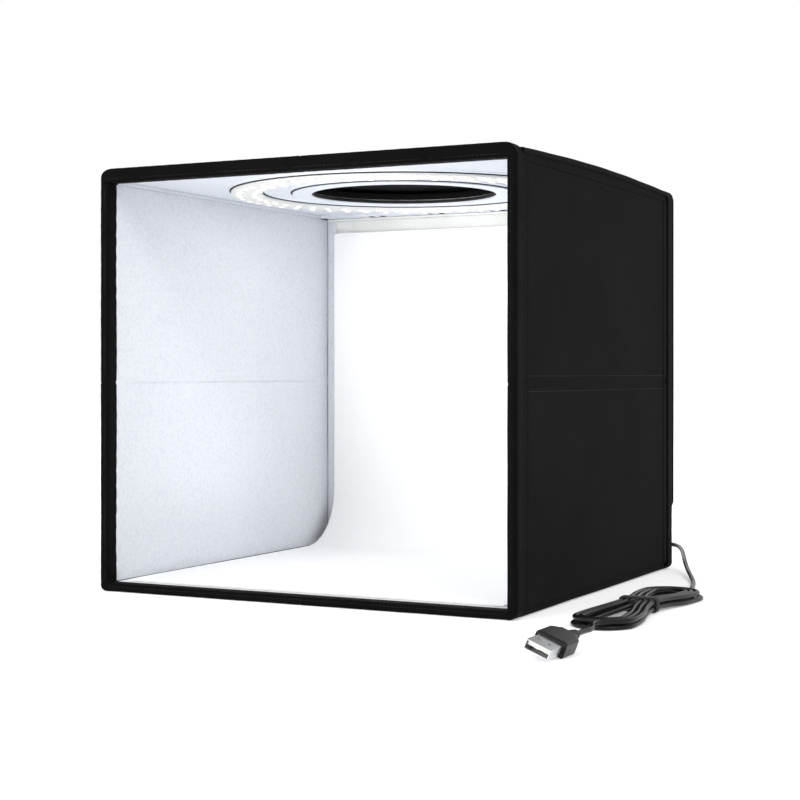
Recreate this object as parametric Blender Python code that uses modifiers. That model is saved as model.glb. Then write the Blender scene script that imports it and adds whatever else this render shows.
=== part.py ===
"""Folding table-top light tent: a padded cube open at the front, with an LED ring under its roof.

The side walls break inward at a crease and the roof comes down on the floor. The rear panel opens
backward, a flap covers the viewing hole, and a white sweep backdrop hangs inside. +Z is up, the front
looks to -Y, and the origin is on the table under the middle of the tent.
"""
import math

import bmesh
import bpy
from mathutils import Matrix, Vector

MM = 0.001

# Driving sizes of the tent
WIDTH = 256 * MM
DEPTH = 260 * MM
FRAME_HEIGHT = 240 * MM
RIM_CROWN = 2.2 * MM
GAP = 0.3 * MM
OVERRUN = 2 * MM

# Padded rolls of the front and rear frames
BOTTOM_ROLL = 5 * MM
TOP_ROLL = 8 * MM
FRONT_ROLL_DEPTH = 10 * MM
REAR_ROLL_DEPTH = 10 * MM
ROLL_RADIUS = 1.9 * MM
FRAME_CORNER = 4.5 * MM
SEAM_RADIUS = 0.7 * MM
RIM_CUTS = 9

# Layers of a panel, from outside to inside
SKIN = 0.8 * MM
BOARD = 2.4 * MM
LINING = 0.6 * MM
PANEL = SKIN + GAP + BOARD + GAP + LINING
PANEL_SET_IN = 1.6 * MM
WALL_SET_IN = 0.4 * MM
SIDE_ROLL = PANEL + WALL_SET_IN
PANEL_EDGE = 0.6 * MM

# Rear panel, its hinge and its cable corner
TAPE = 0.7 * MM
REAR_PANEL = PANEL + TAPE + GAP
REAR_BORDER = 9 * MM
HOOK_TAPE_TO_SIDE = 25 * MM
HOOK_TAPE_HEIGHT = 19 * MM
CABLE_CORNER_WIDTH = 25.5 * MM
CABLE_CORNER_HEIGHT = 28 * MM

# Viewing hole, its ring and its flap
PORT_RING_WIDE = 14 * MM
PORT_RING = 1.4 * MM
PORT_FACE = 0.5 * MM
PORT_FACE_INSET = 1.2 * MM
FLAP_OVERLAP = 7.5 * MM
FLAP_THICK = 1.2 * MM
FLAP_CORNER = 12 * MM
PAD_WIDTH = 26 * MM
PAD_DEPTH = 6 * MM
PAD = 0.5 * MM
TAB_WIDTH = 18 * MM
TAB_REACH = 12 * MM
HINGE_STRIP = 6 * MM
ROUND_SEGMENTS = 72
RELIEF_SEGMENTS = 20

# LED ring
LIGHT_MARGIN = 23 * MM
LIGHT_BAND = 20.5 * MM
LIGHT_TO_PORT_RING = 16 * MM
CARRIER = 1.0 * MM
CARRIER_LIP = 0.9 * MM
CIRCUIT = 1.2 * MM
LED_LONG = 3.5 * MM
LED_SHORT = 2.8 * MM
LED_PROUD = 0.8 * MM
LED_ROW_OFFSETS = (5.7 * MM, 14.9 * MM)
LED_PER_ROW = 48
TERMINAL_LONG = 12 * MM
TERMINAL_WIDE = 7 * MM
TERMINAL_HIGH = 2.2 * MM
TERMINAL_DEGREES = 45

# Backdrop sheet
SHEET = 0.8 * MM
SHEET_SIDE_GAP = 6.7 * MM
SHEET_FRONT_GAP = 1.5 * MM
SWEEP_RADIUS = 38 * MM
SWEEP_STEPS = 12
STRIP_SHOWN = 8.5 * MM

# Inner lead and gland
LEAD = 1.6 * MM
LEAD_UNDER_CEILING = 4 * MM
LEAD_BEND = 10 * MM
LEAD_SEGMENT = 8 * MM
LEAD_CORNER_shares = ((-1.7, -1.85, 0), (-0.5, -0.65, -0.15), (0, -0.05, -0.6), (0, 0, -1.6))
GLAND_TO_SIDE = 19 * MM
GLAND_WIDE = 10 * MM
GLAND_THICK = 3 * MM
GLAND_LOW = 1.5 * MM
GLAND_TOP = 17 * MM
GLAND_AXIS_Z = 12 * MM
RELIEF_LONG = 6 * MM
RELIEF_ROOT = 3.2 * MM
RELIEF_TIP = 2.1 * MM

# USB lead and its hank
CORD = 2.6 * MM
HANK_LOOPS = 5
HANK_TO_SIDE = 44 * MM
HANK_TO_FRONT = 58 * MM
HANK_RUN = 104 * MM
HANK_INNER_RADIUS = 7.9 * MM
HANK_STEP = 3.15 * MM
HANK_LAYER = 3.2 * MM
HANK_DRAWN_IN = 6.9 * MM
HANK_DRAWN_HALF = 50 * MM
HANK_LIFT = 1.5 * MM
RUN_SEGMENTS = 6
FOLD_SEGMENTS = 6
EXIT_SEGMENTS = 2
CORD_SEGMENT = 6.2 * MM
CORD_LOOP_shares = (
    (0, 1.5, 0.1),
    (1.4, 3.75, 0.3),
    (4.1, 4.5, 0.4),
    (6.7, 2.9, 0.2),
    (8.7, -0.55, -0.25),
    (10.6, -5.15, -0.85),
    (13, -11.5, -1.85),
    (15.6, -17.65, -3.1),
)
CORD_COURSE_shares = ((0.692, 0.538), (0.82, 0.771), (0.945, 0.915))
TIE_WIDTH = 5 * MM
TIE_THICK = 0.9 * MM
LEAST_SELF_GAP = 0.4 * MM
NEIGHBOURS = 6

# USB plug
PLUG_BESIDE_HANK = 11 * MM
PLUG_BEFORE_HANK = 119 * MM
PLUG_ROLL_DEGREES = 22
PLUG_RELIEF_LONG = 10 * MM
PLUG_RELIEF_ROOT = 3.4 * MM
PLUG_RELIEF_TIP = 2.3 * MM
PLUG_LONG = 21 * MM
PLUG_WIDE = 15.5 * MM
PLUG_THICK = 7.8 * MM
PLUG_NECK_WIDE = 8.4 * MM
PLUG_NECK_LONG = 7 * MM
PLUG_ROUND = 1.6 * MM
SHELL_LONG = 14 * MM
SHELL_WIDE = 12 * MM
SHELL_THICK = 4.5 * MM
SHELL_WALL = 0.4 * MM
SHELL_WINDOW = 2.4 * MM
SHELL_WINDOW_PITCH = 5.2 * MM
SHELL_WINDOW_SETBACK = 6.6 * MM
TONGUE_THICK = 1.7 * MM
TONGUE_SHORT = 1.5 * MM

# Places that follow from the sizes
SIDE = WIDTH / 2
FRONT = -DEPTH / 2
REAR = DEPTH / 2
HOOK_TAPE_WIDTH = WIDTH - 2 * HOOK_TAPE_TO_SIDE
LIGHT_OUTER = min(SIDE, REAR) - LIGHT_MARGIN
LIGHT_INNER = LIGHT_OUTER - LIGHT_BAND
LED_ROW_RADII = [LIGHT_INNER + offset for offset in LED_ROW_OFFSETS]
PORT_RING_RADIUS = LIGHT_INNER - LIGHT_TO_PORT_RING
PORT_RADIUS = PORT_RING_RADIUS - PORT_RING_WIDE
FLAP = 2 * (PORT_RADIUS + FLAP_OVERLAP)
GLAND_X = SIDE - GLAND_TO_SIDE
HANK_CENTRE_X = SIDE + HANK_TO_SIDE
HANK_CENTRE_Y = FRONT + HANK_TO_FRONT
PLUG_X = HANK_CENTRE_X + PLUG_BESIDE_HANK
PLUG_TAIL_Y = HANK_CENTRE_Y - PLUG_BEFORE_HANK
REAR_FACE = REAR - REAR_PANEL - GAP
WALL_FRONT = FRONT + FRONT_ROLL_DEPTH + GAP
WALL_REAR = REAR_FACE - REAR_ROLL_DEPTH - GAP
HINGE_X = SIDE - SIDE_ROLL
FLOOR_HINGE_Z = BOTTOM_ROLL + GAP / 2
ROOF_HINGE_Z = FRAME_HEIGHT - TOP_ROLL - GAP / 2
CREASE_Z = (FLOOR_HINGE_Z + ROOF_HINGE_Z) / 2
ROOF_SKIN_Z = FRAME_HEIGHT - PANEL_SET_IN
CEILING_Z = ROOF_SKIN_Z - PANEL
REAR_HINGE_Y = REAR - REAR_PANEL - GAP / 2
REAR_LINING_Y = REAR - PANEL
SHEET_BACK_Y = REAR - REAR_PANEL - GAP - TAPE - GAP
REAR_HINGE_Z = REAR_PANEL + GAP
FLAP_UNDER_Z = ROOF_SKIN_Z + GAP + PAD + GAP + PAD + GAP
FLAP_HINGE_Z = FLAP_UNDER_Z + FLAP_THICK + GAP / 2
FLAP_HINGE_X = -FLAP / 2
LIGHT_UNDER_Z = CEILING_Z - GAP - CARRIER - GAP - CIRCUIT

X_EDGES, Y_EDGES, Z_EDGES = range(3)


def clear_scene():
    for obj in list(bpy.data.objects):
        bpy.data.objects.remove(obj, do_unlink=True)


def new_collection(name):
    collection = bpy.data.collections.new(name)
    bpy.context.scene.collection.children.link(collection)
    return collection


clear_scene()
PARTS = new_collection("light_tent_cube")
CUTTERS = new_collection("cutters")


def material(name, colour, roughness, metallic=0.0):
    made = bpy.data.materials.new(name)
    made.use_nodes = True
    shader = made.node_tree.nodes["Principled BSDF"]
    shader.inputs["Base Color"].default_value = (*colour, 1.0)
    shader.inputs["Roughness"].default_value = roughness
    shader.inputs["Metallic"].default_value = metallic
    return made


CLOTH = material("black_cloth", (0.016, 0.016, 0.017), 0.85)
BINDING = material("black_binding", (0.010, 0.010, 0.011), 0.75)
BOARD_GREY = material("stiff_board", (0.30, 0.29, 0.27), 0.7)
SILVER = material("silver_lining", (0.72, 0.75, 0.80), 0.38, 0.35)
PALE = material("pale_lining", (0.80, 0.81, 0.83), 0.6)
TAPE_WHITE = material("off_white_tape", (0.86, 0.87, 0.82), 0.8)
SHEET_WHITE = material("white_sheet", (0.92, 0.92, 0.92), 0.55)
CIRCUIT_WHITE = material("white_circuit_board", (0.86, 0.86, 0.83), 0.4)
DARK_EDGE = material("dark_ring", (0.02, 0.02, 0.02), 0.6)
METAL = material("plug_shell_steel", (0.72, 0.73, 0.75), 0.25, 1.0)
RUBBER = material("charcoal_rubber", (0.018, 0.018, 0.02), 0.45)
TONGUE_WHITE = material("tongue_plastic", (0.8, 0.8, 0.78), 0.5)
TERMINAL_PALE = material("terminal_plastic", (0.75, 0.74, 0.70), 0.5)


def body(name, parent=None, place=(0, 0, 0)):
    """An empty on a joint's axis, which carries the pieces of one rigid body."""
    empty = bpy.data.objects.new(name, None)
    PARTS.objects.link(empty)
    empty.parent = parent
    held = origin_of(parent) if parent else Vector()
    empty.location = Vector(place) - held
    return empty


def origin_of(empty):
    place = Vector()
    while empty:
        place += empty.location
        empty = empty.parent
    return place


def attach(obj, carrier, finish):
    obj.data.materials.append(finish)
    obj.location -= origin_of(carrier)
    obj.parent = carrier


def link_mesh(name, mesh, place, collection):
    obj = bpy.data.objects.new(name, mesh)
    obj.location = place
    collection.objects.link(obj)
    return obj


def box_mesh(name, size, radius_of=None, cuts=0, lift=None):
    """A box about its own middle. radius_of gives the rounding of an edge from its direction and middle."""
    mesh = bpy.data.meshes.new(name)
    bm = bmesh.new()
    bmesh.ops.create_cube(bm, size=1)
    bmesh.ops.scale(bm, vec=size, verts=bm.verts)
    if cuts:
        long_edges = [e for e in bm.edges if direction_of(e) == Y_EDGES]
        bmesh.ops.subdivide_edges(bm, edges=long_edges, cuts=cuts, use_grid_fill=True)
    widest = 0
    if radius_of:
        weights = bm.edges.layers.float.new("bevel_weight_edge")
        radii = {}
        for edge in bm.edges:
            sharp = edge.calc_face_angle(0) > math.radians(45)
            middle = (edge.verts[0].co + edge.verts[1].co) / 2
            radii[edge] = radius_of(direction_of(edge), middle) if sharp else 0
        widest = max(radii.values())
        for edge, radius in radii.items():
            edge[weights] = radius / widest
    if lift:
        for vert in bm.verts:
            vert.co.z += lift(vert.co)
    bm.to_mesh(mesh)
    bm.free()
    return mesh, widest


def direction_of(edge):
    run = edge.verts[1].co - edge.verts[0].co
    return max(range(3), key=lambda axis: abs(run[axis]))


def add_bevel(obj, width, segments):
    bevel = obj.modifiers.new("round", "BEVEL")
    bevel.limit_method = "WEIGHT"
    bevel.width = width
    bevel.segments = segments
    bevel.use_clamp_overlap = False


def block(name, low, high, carrier, finish, radius_of=None, segments=2, cuts=0, lift=None):
    low, high = Vector(low), Vector(high)
    mesh, widest = box_mesh(name, high - low, radius_of, cuts, lift)
    obj = link_mesh(name, mesh, (low + high) / 2, PARTS)
    if widest:
        add_bevel(obj, widest, segments)
    attach(obj, carrier, finish)
    return obj


def even(radius):
    return lambda direction, middle: radius


def by_direction(x_radius, y_radius, z_radius):
    radii = (x_radius, y_radius, z_radius)
    return lambda direction, middle: radii[direction]


def as_cutter(obj):
    obj.hide_render = True
    obj.display_type = "WIRE"
    return obj


def box_cutter(name, low, high):
    low, high = Vector(low), Vector(high)
    mesh, _ = box_mesh(name, high - low)
    return as_cutter(link_mesh(name, mesh, (low + high) / 2, CUTTERS))


def cylinder_mesh(name, radius, height, tip_radius=None, segments=ROUND_SEGMENTS):
    mesh = bpy.data.meshes.new(name)
    bm = bmesh.new()
    tip = radius if tip_radius is None else tip_radius
    bmesh.ops.create_cone(
        bm, cap_ends=True, segments=segments, radius1=radius, radius2=tip, depth=height
    )
    bm.to_mesh(mesh)
    bm.free()
    return mesh


def port_cutter(name, radius, low_z, high_z):
    """A round cutter through the roof, on the axis of the viewing hole."""
    mesh = cylinder_mesh(name, radius, high_z - low_z)
    return as_cutter(link_mesh(name, mesh, (0, 0, (low_z + high_z) / 2), CUTTERS))


def boolean(obj, other, operation="DIFFERENCE"):
    cut = obj.modifiers.new(other.name, "BOOLEAN")
    cut.operation = operation
    cut.object = other


def port_hole(name, grow):
    return port_cutter(f"{name}_port", PORT_RADIUS + grow, CEILING_Z - OVERRUN, FRAME_HEIGHT + OVERRUN)


def cable_corner(name, grow):
    low = (SIDE - CABLE_CORNER_WIDTH - grow, REAR_FACE - OVERRUN, 0)
    high = (SIDE + OVERRUN, REAR + OVERRUN, REAR_HINGE_Z + CABLE_CORNER_HEIGHT + grow)
    return box_cutter(f"{name}_cable_corner", low, high)


def inset_box(low, high, axis, inward, border, start, thickness):
    """The layer of a panel that lies start in from its outer face, with a border round it."""
    low, high = Vector(low), Vector(high)
    for other in range(3):
        if other != axis:
            low[other] += border
            high[other] -= border
    if inward > 0:
        low[axis] += start
        high[axis] = low[axis] + thickness
    else:
        high[axis] -= start
        low[axis] = high[axis] - thickness
    return low, high


def panel(name, low, high, axis, inward, carrier, lining, border=SKIN, opening=None):
    """A sewn panel: a cloth tray open to the inside, the stiff board in it and the lining over that."""
    thickness = high[axis] - low[axis]
    skin = block(f"{name}_skin", low, high, carrier, CLOTH, even(PANEL_EDGE))
    pocket = inset_box(low, high, axis, inward, border, SKIN, thickness - SKIN + OVERRUN)
    cutter = box_cutter(f"{name}_pocket", *pocket)
    if opening:
        boolean(cutter, opening(f"{name}_keep", SKIN))
    boolean(skin, cutter)
    if opening:
        boolean(skin, opening(name, 0))
    board_box = inset_box(low, high, axis, inward, border + GAP, SKIN + GAP, BOARD)
    board = block(f"{name}_board", *board_box, carrier, BOARD_GREY)
    lining_box = inset_box(low, high, axis, inward, border + GAP, SKIN + BOARD + 2 * GAP, LINING)
    inner = block(f"{name}_lining", *lining_box, carrier, lining)
    if opening:
        boolean(board, opening(f"{name}_board", SKIN + GAP))
        boolean(inner, opening(f"{name}_lining", SKIN + GAP))
    return skin


def roll_radius(open_end):
    """Rounding of a roll along X: full along its length, a frame corner at its outer ends."""
    def radius_of(direction, middle):
        if direction == X_EDGES:
            return ROLL_RADIUS
        if direction == Y_EDGES and middle.z * open_end > 0:
            return FRAME_CORNER
        return SEAM_RADIUS
    return radius_of


def cross_rolls(end, low_z, high_z, carrier, open_end):
    """The front and rear rolls that run across the tent at its floor or its roof."""
    spans = {"front": (FRONT, FRONT + FRONT_ROLL_DEPTH), "rear": (REAR_FACE - REAR_ROLL_DEPTH, REAR_FACE)}
    for where, (near, far) in spans.items():
        name = f"{end}_{where}_roll"
        low, high = (-SIDE, near, low_z), (SIDE, far, high_z)
        block(name, low, high, carrier, BINDING, roll_radius(open_end), segments=3)


def side_wall(name, sign, low_z, high_z, carrier):
    """Half a side wall: its panel and the rolls of the front and rear frames that edge it."""
    spans = {"front": (FRONT, FRONT + FRONT_ROLL_DEPTH), "rear": (REAR_FACE - REAR_ROLL_DEPTH, REAR_FACE)}
    inner, outer = sorted((sign * HINGE_X, sign * SIDE))
    rounding = by_direction(SEAM_RADIUS, SEAM_RADIUS, ROLL_RADIUS)
    for where, (near, far) in spans.items():
        low, high = (inner, near, low_z), (outer, far, high_z)
        block(f"{name}_{where}_roll", low, high, carrier, BINDING, rounding, segments=3)
    face = sign * (SIDE - WALL_SET_IN)
    x_low, x_high = sorted((face, face - sign * PANEL))
    panel(name, (x_low, WALL_FRONT, low_z), (x_high, WALL_REAR, high_z), 0, -sign, carrier, SILVER)


def make_floor(carrier):
    cross_rolls("floor", 0, BOTTOM_ROLL, carrier, -1)
    edge = SIDE - PANEL_SET_IN
    low, high = (-edge, WALL_FRONT, BOTTOM_ROLL - PANEL), (edge, WALL_REAR, BOTTOM_ROLL)
    panel("floor", low, high, 2, 1, carrier, PALE)


def rim_lift(co):
    """The side rims of the roof bow up between the frames."""
    if co.z < 0:
        return 0
    share_along = co.y / (WALL_REAR - WALL_FRONT)
    return RIM_CROWN * math.cos(math.pi * share_along)


def make_roof(carrier):
    cross_rolls("roof", FRAME_HEIGHT - TOP_ROLL, FRAME_HEIGHT, carrier, 1)
    rounding = by_direction(SEAM_RADIUS, ROLL_RADIUS, SEAM_RADIUS)
    for side_name, sign in (("left", -1), ("right", 1)):
        x_low, x_high = sorted((sign * (SIDE - SIDE_ROLL), sign * SIDE))
        low = (x_low, WALL_FRONT, FRAME_HEIGHT - TOP_ROLL)
        high = (x_high, WALL_REAR, FRAME_HEIGHT)
        block(f"roof_{side_name}_rim", low, high, carrier, BINDING, rounding, 3, RIM_CUTS, rim_lift)
    edge = SIDE - SIDE_ROLL - GAP
    low, high = (-edge, WALL_FRONT, CEILING_Z), (edge, WALL_REAR, ROOF_SKIN_Z)
    panel("roof", low, high, 2, -1, carrier, PALE, opening=port_hole)
    fast = FLAP_HINGE_Z - GAP / 2
    low = (FLAP_HINGE_X - GAP - HINGE_STRIP, -FLAP / 2 + FLAP_CORNER, ROOF_SKIN_Z + GAP)
    high = (FLAP_HINGE_X - GAP, FLAP / 2 - FLAP_CORNER, fast)
    block("flap_hinge_strip", low, high, carrier, BINDING, even(SEAM_RADIUS))
    pad("flap_loop_pad", ROOF_SKIN_Z + GAP, carrier)


def pad(name, low_z, carrier):
    edge = FLAP / 2 - GAP
    low, high = (edge - PAD_DEPTH, -PAD_WIDTH / 2, low_z), (edge, PAD_WIDTH / 2, low_z + PAD)
    block(name, low, high, carrier, BINDING)


def make_flap(carrier):
    side = FLAP / 2
    rounding = by_direction(0, 0, FLAP_CORNER)
    low, high = (GAP - side, -side, FLAP_UNDER_Z), (side, side, FLAP_UNDER_Z + FLAP_THICK)
    block("view_flap", low, high, carrier, CLOTH, rounding, segments=5)
    low = (side + GAP, -TAB_WIDTH / 2, FLAP_UNDER_Z)
    high = (side + GAP + TAB_REACH, TAB_WIDTH / 2, FLAP_UNDER_Z + FLAP_THICK)
    block("flap_pull_tab", low, high, carrier, BINDING, by_direction(0, 0, SEAM_RADIUS * 3), segments=3)
    pad("flap_hook_pad", FLAP_UNDER_Z - GAP - PAD, carrier)


def turned(name, profile, carrier, finish, place=(0, 0, 0), steps=ROUND_SEGMENTS):
    """A closed profile in the XZ plane, turned about +Z."""
    mesh = bpy.data.meshes.new(name)
    bm = bmesh.new()
    verts = [bm.verts.new((radius, 0, z)) for radius, z in profile]
    for first, second in zip(verts, verts[1:] + verts[:1]):
        bm.edges.new((first, second))
    bm.to_mesh(mesh)
    bm.free()
    obj = link_mesh(name, mesh, place, PARTS)
    screw = obj.modifiers.new("turn", "SCREW")
    screw.steps = steps
    screw.render_steps = steps
    screw.use_merge_vertices = True
    screw.merge_threshold = 0.01 * MM
    attach(obj, carrier, finish)
    return obj


def annulus(name, inner, outer, low_z, high_z, carrier, finish):
    profile = ((outer, high_z), (outer, low_z), (inner, low_z), (inner, high_z))
    return turned(name, profile, carrier, finish)


def led_studs():
    """All LEDs of both rows as one cutter-like mesh, which the circuit board takes in by a union."""
    mesh = bpy.data.meshes.new("led_studs")
    bm = bmesh.new()
    height = LED_PROUD + CIRCUIT / 2
    for row, radius in enumerate(LED_ROW_RADII):
        for index in range(LED_PER_ROW):
            angle = 2 * math.pi * (index + row / 2) / LED_PER_ROW
            stud = bmesh.ops.create_cube(bm, size=1)["verts"]
            bmesh.ops.scale(bm, vec=(LED_SHORT, LED_LONG, height), verts=stud)
            bmesh.ops.translate(bm, vec=(radius, 0, 0), verts=stud)
            bmesh.ops.rotate(bm, cent=(0, 0, 0), matrix=Matrix.Rotation(angle, 3, "Z"), verts=stud)
    bm.to_mesh(mesh)
    bm.free()
    place = (0, 0, LIGHT_UNDER_Z - LED_PROUD + height / 2)
    return as_cutter(link_mesh("led_studs", mesh, place, CUTTERS))


def make_light(carrier):
    top = CEILING_Z - GAP
    annulus("light_carrier", LIGHT_INNER, LIGHT_OUTER, top - CARRIER, top, carrier, DARK_EDGE)
    board_top = LIGHT_UNDER_Z + CIRCUIT
    inner, outer = LIGHT_INNER + CARRIER_LIP, LIGHT_OUTER - CARRIER_LIP
    board = annulus("light_board", inner, outer, LIGHT_UNDER_Z, board_top, carrier, CIRCUIT_WHITE)
    boolean(board, led_studs(), "UNION")
    ring_low = top - PORT_RING
    annulus("port_ring", PORT_RADIUS, PORT_RING_RADIUS, ring_low, top, carrier, DARK_EDGE)
    face_top = ring_low - GAP
    inner, outer = PORT_RADIUS + PORT_FACE_INSET, PORT_RING_RADIUS - PORT_FACE_INSET
    annulus("port_face", inner, outer, face_top - PORT_FACE, face_top, carrier, PALE)
    low, high = terminal_box()
    block("light_terminal", low, high, carrier, TERMINAL_PALE, even(SEAM_RADIUS / 2))


def terminal_box():
    """The small connector where the inner lead meets the ring, on the ceiling just outside it."""
    reach = LIGHT_OUTER + GAP + TERMINAL_WIDE
    middle_x = reach * math.cos(math.radians(TERMINAL_DEGREES))
    middle_y = reach * math.sin(math.radians(TERMINAL_DEGREES))
    top = CEILING_Z - GAP
    low = (middle_x - TERMINAL_WIDE / 2, middle_y - TERMINAL_LONG / 2, top - TERMINAL_HIGH)
    high = (middle_x + TERMINAL_WIDE / 2, middle_y + TERMINAL_LONG / 2, top)
    return low, high


def make_rear_panel(carrier):
    low, high = (-SIDE, REAR - REAR_PANEL, REAR_HINGE_Z + GAP / 2), (SIDE, REAR, FRAME_HEIGHT)
    skin = panel("rear", low, high, 1, -1, carrier, PALE, border=REAR_BORDER, opening=cable_corner)
    corner_top = REAR_HINGE_Z + CABLE_CORNER_HEIGHT
    low = (GLAND_X - LEAD, REAR_FACE - OVERRUN, corner_top - OVERRUN)
    high = (GLAND_X + LEAD, REAR_LINING_Y + GAP / 2, corner_top + SKIN + OVERRUN)
    boolean(skin, box_cutter("lead_slot", low, high))
    top = FRAME_HEIGHT - REAR_BORDER - 2 * GAP
    near = REAR - REAR_PANEL
    low = (-HOOK_TAPE_WIDTH / 2, near, top - HOOK_TAPE_HEIGHT)
    high = (HOOK_TAPE_WIDTH / 2, near + TAPE, top)
    block("backdrop_hook_tape", low, high, carrier, TAPE_WHITE)


def backdrop_top():
    return FRAME_HEIGHT - REAR_BORDER - 2 * GAP - STRIP_SHOWN


def make_backdrop(carrier):
    """The sheet lies on the floor, sweeps up and hangs by the tape along its top edge."""
    floor_z = BOTTOM_ROLL + GAP
    front_y = FRONT + FRONT_ROLL_DEPTH + SHEET_FRONT_GAP
    centre_y, centre_z = SHEET_BACK_Y - SWEEP_RADIUS, floor_z + SWEEP_RADIUS
    path = [(front_y, floor_z)]
    for step in range(SWEEP_STEPS + 1):
        angle = math.pi / 2 * step / SWEEP_STEPS
        sweep_y = centre_y + SWEEP_RADIUS * math.sin(angle)
        path.append((sweep_y, centre_z - SWEEP_RADIUS * math.cos(angle)))
    path.append((SHEET_BACK_Y, backdrop_top()))
    half = HINGE_X - SHEET_SIDE_GAP
    mesh = bpy.data.meshes.new("backdrop_sheet")
    bm = bmesh.new()
    chain = [bm.verts.new((-half, y, z)) for y, z in path]
    edges = [bm.edges.new(pair) for pair in zip(chain, chain[1:])]
    grown = bmesh.ops.extrude_edge_only(bm, edges=edges)["geom"]
    moved = [item for item in grown if isinstance(item, bmesh.types.BMVert)]
    bmesh.ops.translate(bm, vec=(2 * half, 0, 0), verts=moved)
    bmesh.ops.recalc_face_normals(bm, faces=bm.faces)
    upward = sum(face.normal.z * face.calc_area() for face in bm.faces)
    if upward < 0:
        bmesh.ops.reverse_faces(bm, faces=bm.faces)
    bm.to_mesh(mesh)
    bm.free()
    sheet = link_mesh("backdrop_sheet", mesh, (0, 0, 0), PARTS)
    wall = sheet.modifiers.new("thickness", "SOLIDIFY")
    wall.thickness = SHEET
    wall.offset = 1
    attach(sheet, carrier, SHEET_WHITE)
    low = (-HOOK_TAPE_WIDTH / 2, SHEET_BACK_Y + GAP, backdrop_top() - HOOK_TAPE_HEIGHT / 2)
    high = (HOOK_TAPE_WIDTH / 2, SHEET_BACK_Y + GAP + TAPE, backdrop_top())
    block("backdrop_loop_tape", low, high, carrier, TAPE_WHITE)


CURVE_STEPS = 24


def curve_through(points, spacing):
    """Points along a smooth curve through the given ones, about spacing apart."""
    points = [Vector(p) for p in points]
    ends = [2 * points[0] - points[1]] + points + [2 * points[-1] - points[-2]]
    fine = []
    for a, b, c, d in zip(ends, ends[1:], ends[2:], ends[3:]):
        for step in range(CURVE_STEPS):
            t = step / CURVE_STEPS
            fine.append(
                0.5 * (2 * b + (c - a) * t + (2 * a - 5 * b + 4 * c - d) * t ** 2
                       + (3 * b - a - 3 * c + d) * t ** 3)
            )
    fine.append(points[-1])
    total = sum((q - p).length for p, q in zip(fine, fine[1:]))
    count = max(2, round(total / spacing))
    picked, walked, target = [fine[0]], 0.0, total / count
    for p, q in zip(fine, fine[1:]):
        walked += (q - p).length
        if walked >= target and len(picked) < count:
            picked.append(q)
            target += total / count
    picked.append(fine[-1])
    return picked


def tube(name, points, diameter, carrier, finish, resolution=2):
    curve = bpy.data.curves.new(name, "CURVE")
    curve.dimensions = "3D"
    curve.bevel_depth = diameter / 2
    curve.bevel_resolution = resolution
    curve.use_fill_caps = True
    spline = curve.splines.new("POLY")
    spline.points.add(len(points) - 1)
    for knot, point in zip(spline.points, points):
        knot.co = (*point, 1)
    obj = bpy.data.objects.new(name, curve)
    PARTS.objects.link(obj)
    attach(obj, carrier, finish)
    return obj


def gland_tip_y():
    return REAR_FACE + GAP + GLAND_THICK + RELIEF_LONG


def make_gland(carrier):
    """The moulded gland on the rear floor roll, with a tapered relief where the lead leaves."""
    near = REAR_FACE + GAP
    low = (GLAND_X - GLAND_WIDE / 2, near, GLAND_LOW)
    high = (GLAND_X + GLAND_WIDE / 2, near + GLAND_THICK, GLAND_TOP)
    gland = block("cable_gland", low, high, carrier, RUBBER, even(SEAM_RADIUS))
    length = RELIEF_LONG + GLAND_THICK / 2
    mesh = cylinder_mesh("gland_relief", RELIEF_ROOT, length, RELIEF_TIP, RELIEF_SEGMENTS)
    place = (GLAND_X, gland_tip_y() - length / 2, GLAND_AXIS_Z)
    relief = as_cutter(link_mesh("gland_relief", mesh, place, CUTTERS))
    relief.rotation_euler = (-math.pi / 2, 0, 0)
    boolean(gland, relief, "UNION")


def make_inner_lead(carrier):
    """From the ring's connector over the backdrop's top edge and down the rear corner to the gland."""
    low, high = terminal_box()
    start = Vector(((low[0] + high[0]) / 2, high[1] + GAP, (low[2] + high[2]) / 2))
    behind_y = (SHEET_BACK_Y + REAR_LINING_Y) / 2
    gland_y = REAR_FACE + GAP + GLAND_THICK / 2
    corner = Vector((GLAND_X, behind_y, CEILING_Z - LEAD_UNDER_CEILING))
    notch_top = REAR_HINGE_Z + CABLE_CORNER_HEIGHT
    route = [start, start + Vector((0, LEAD_BEND / 2, 0))]
    route += [corner + LEAD_BEND * Vector(shares) for shares in LEAD_CORNER_shares]
    route += [
        Vector((GLAND_X, behind_y, FRAME_HEIGHT / 2)),
        Vector((GLAND_X, behind_y, notch_top + 2 * LEAD_BEND)),
        Vector((GLAND_X, behind_y, notch_top + LEAD_BEND / 2)),
        Vector((GLAND_X, gland_y, (notch_top + GLAND_TOP) / 2)),
        Vector((GLAND_X, gland_y, GLAND_TOP + GAP)),
    ]
    tube("light_lead", curve_through(route, LEAD_SEGMENT), LEAD, carrier, RUBBER, 1)


def hank_waist(y):
    """How far every run is drawn in at a place along the hank, and the lift over the tie."""
    if abs(y) >= HANK_DRAWN_HALF:
        return 0
    return (1 + math.cos(math.pi * y / HANK_DRAWN_HALF)) / 2


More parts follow.
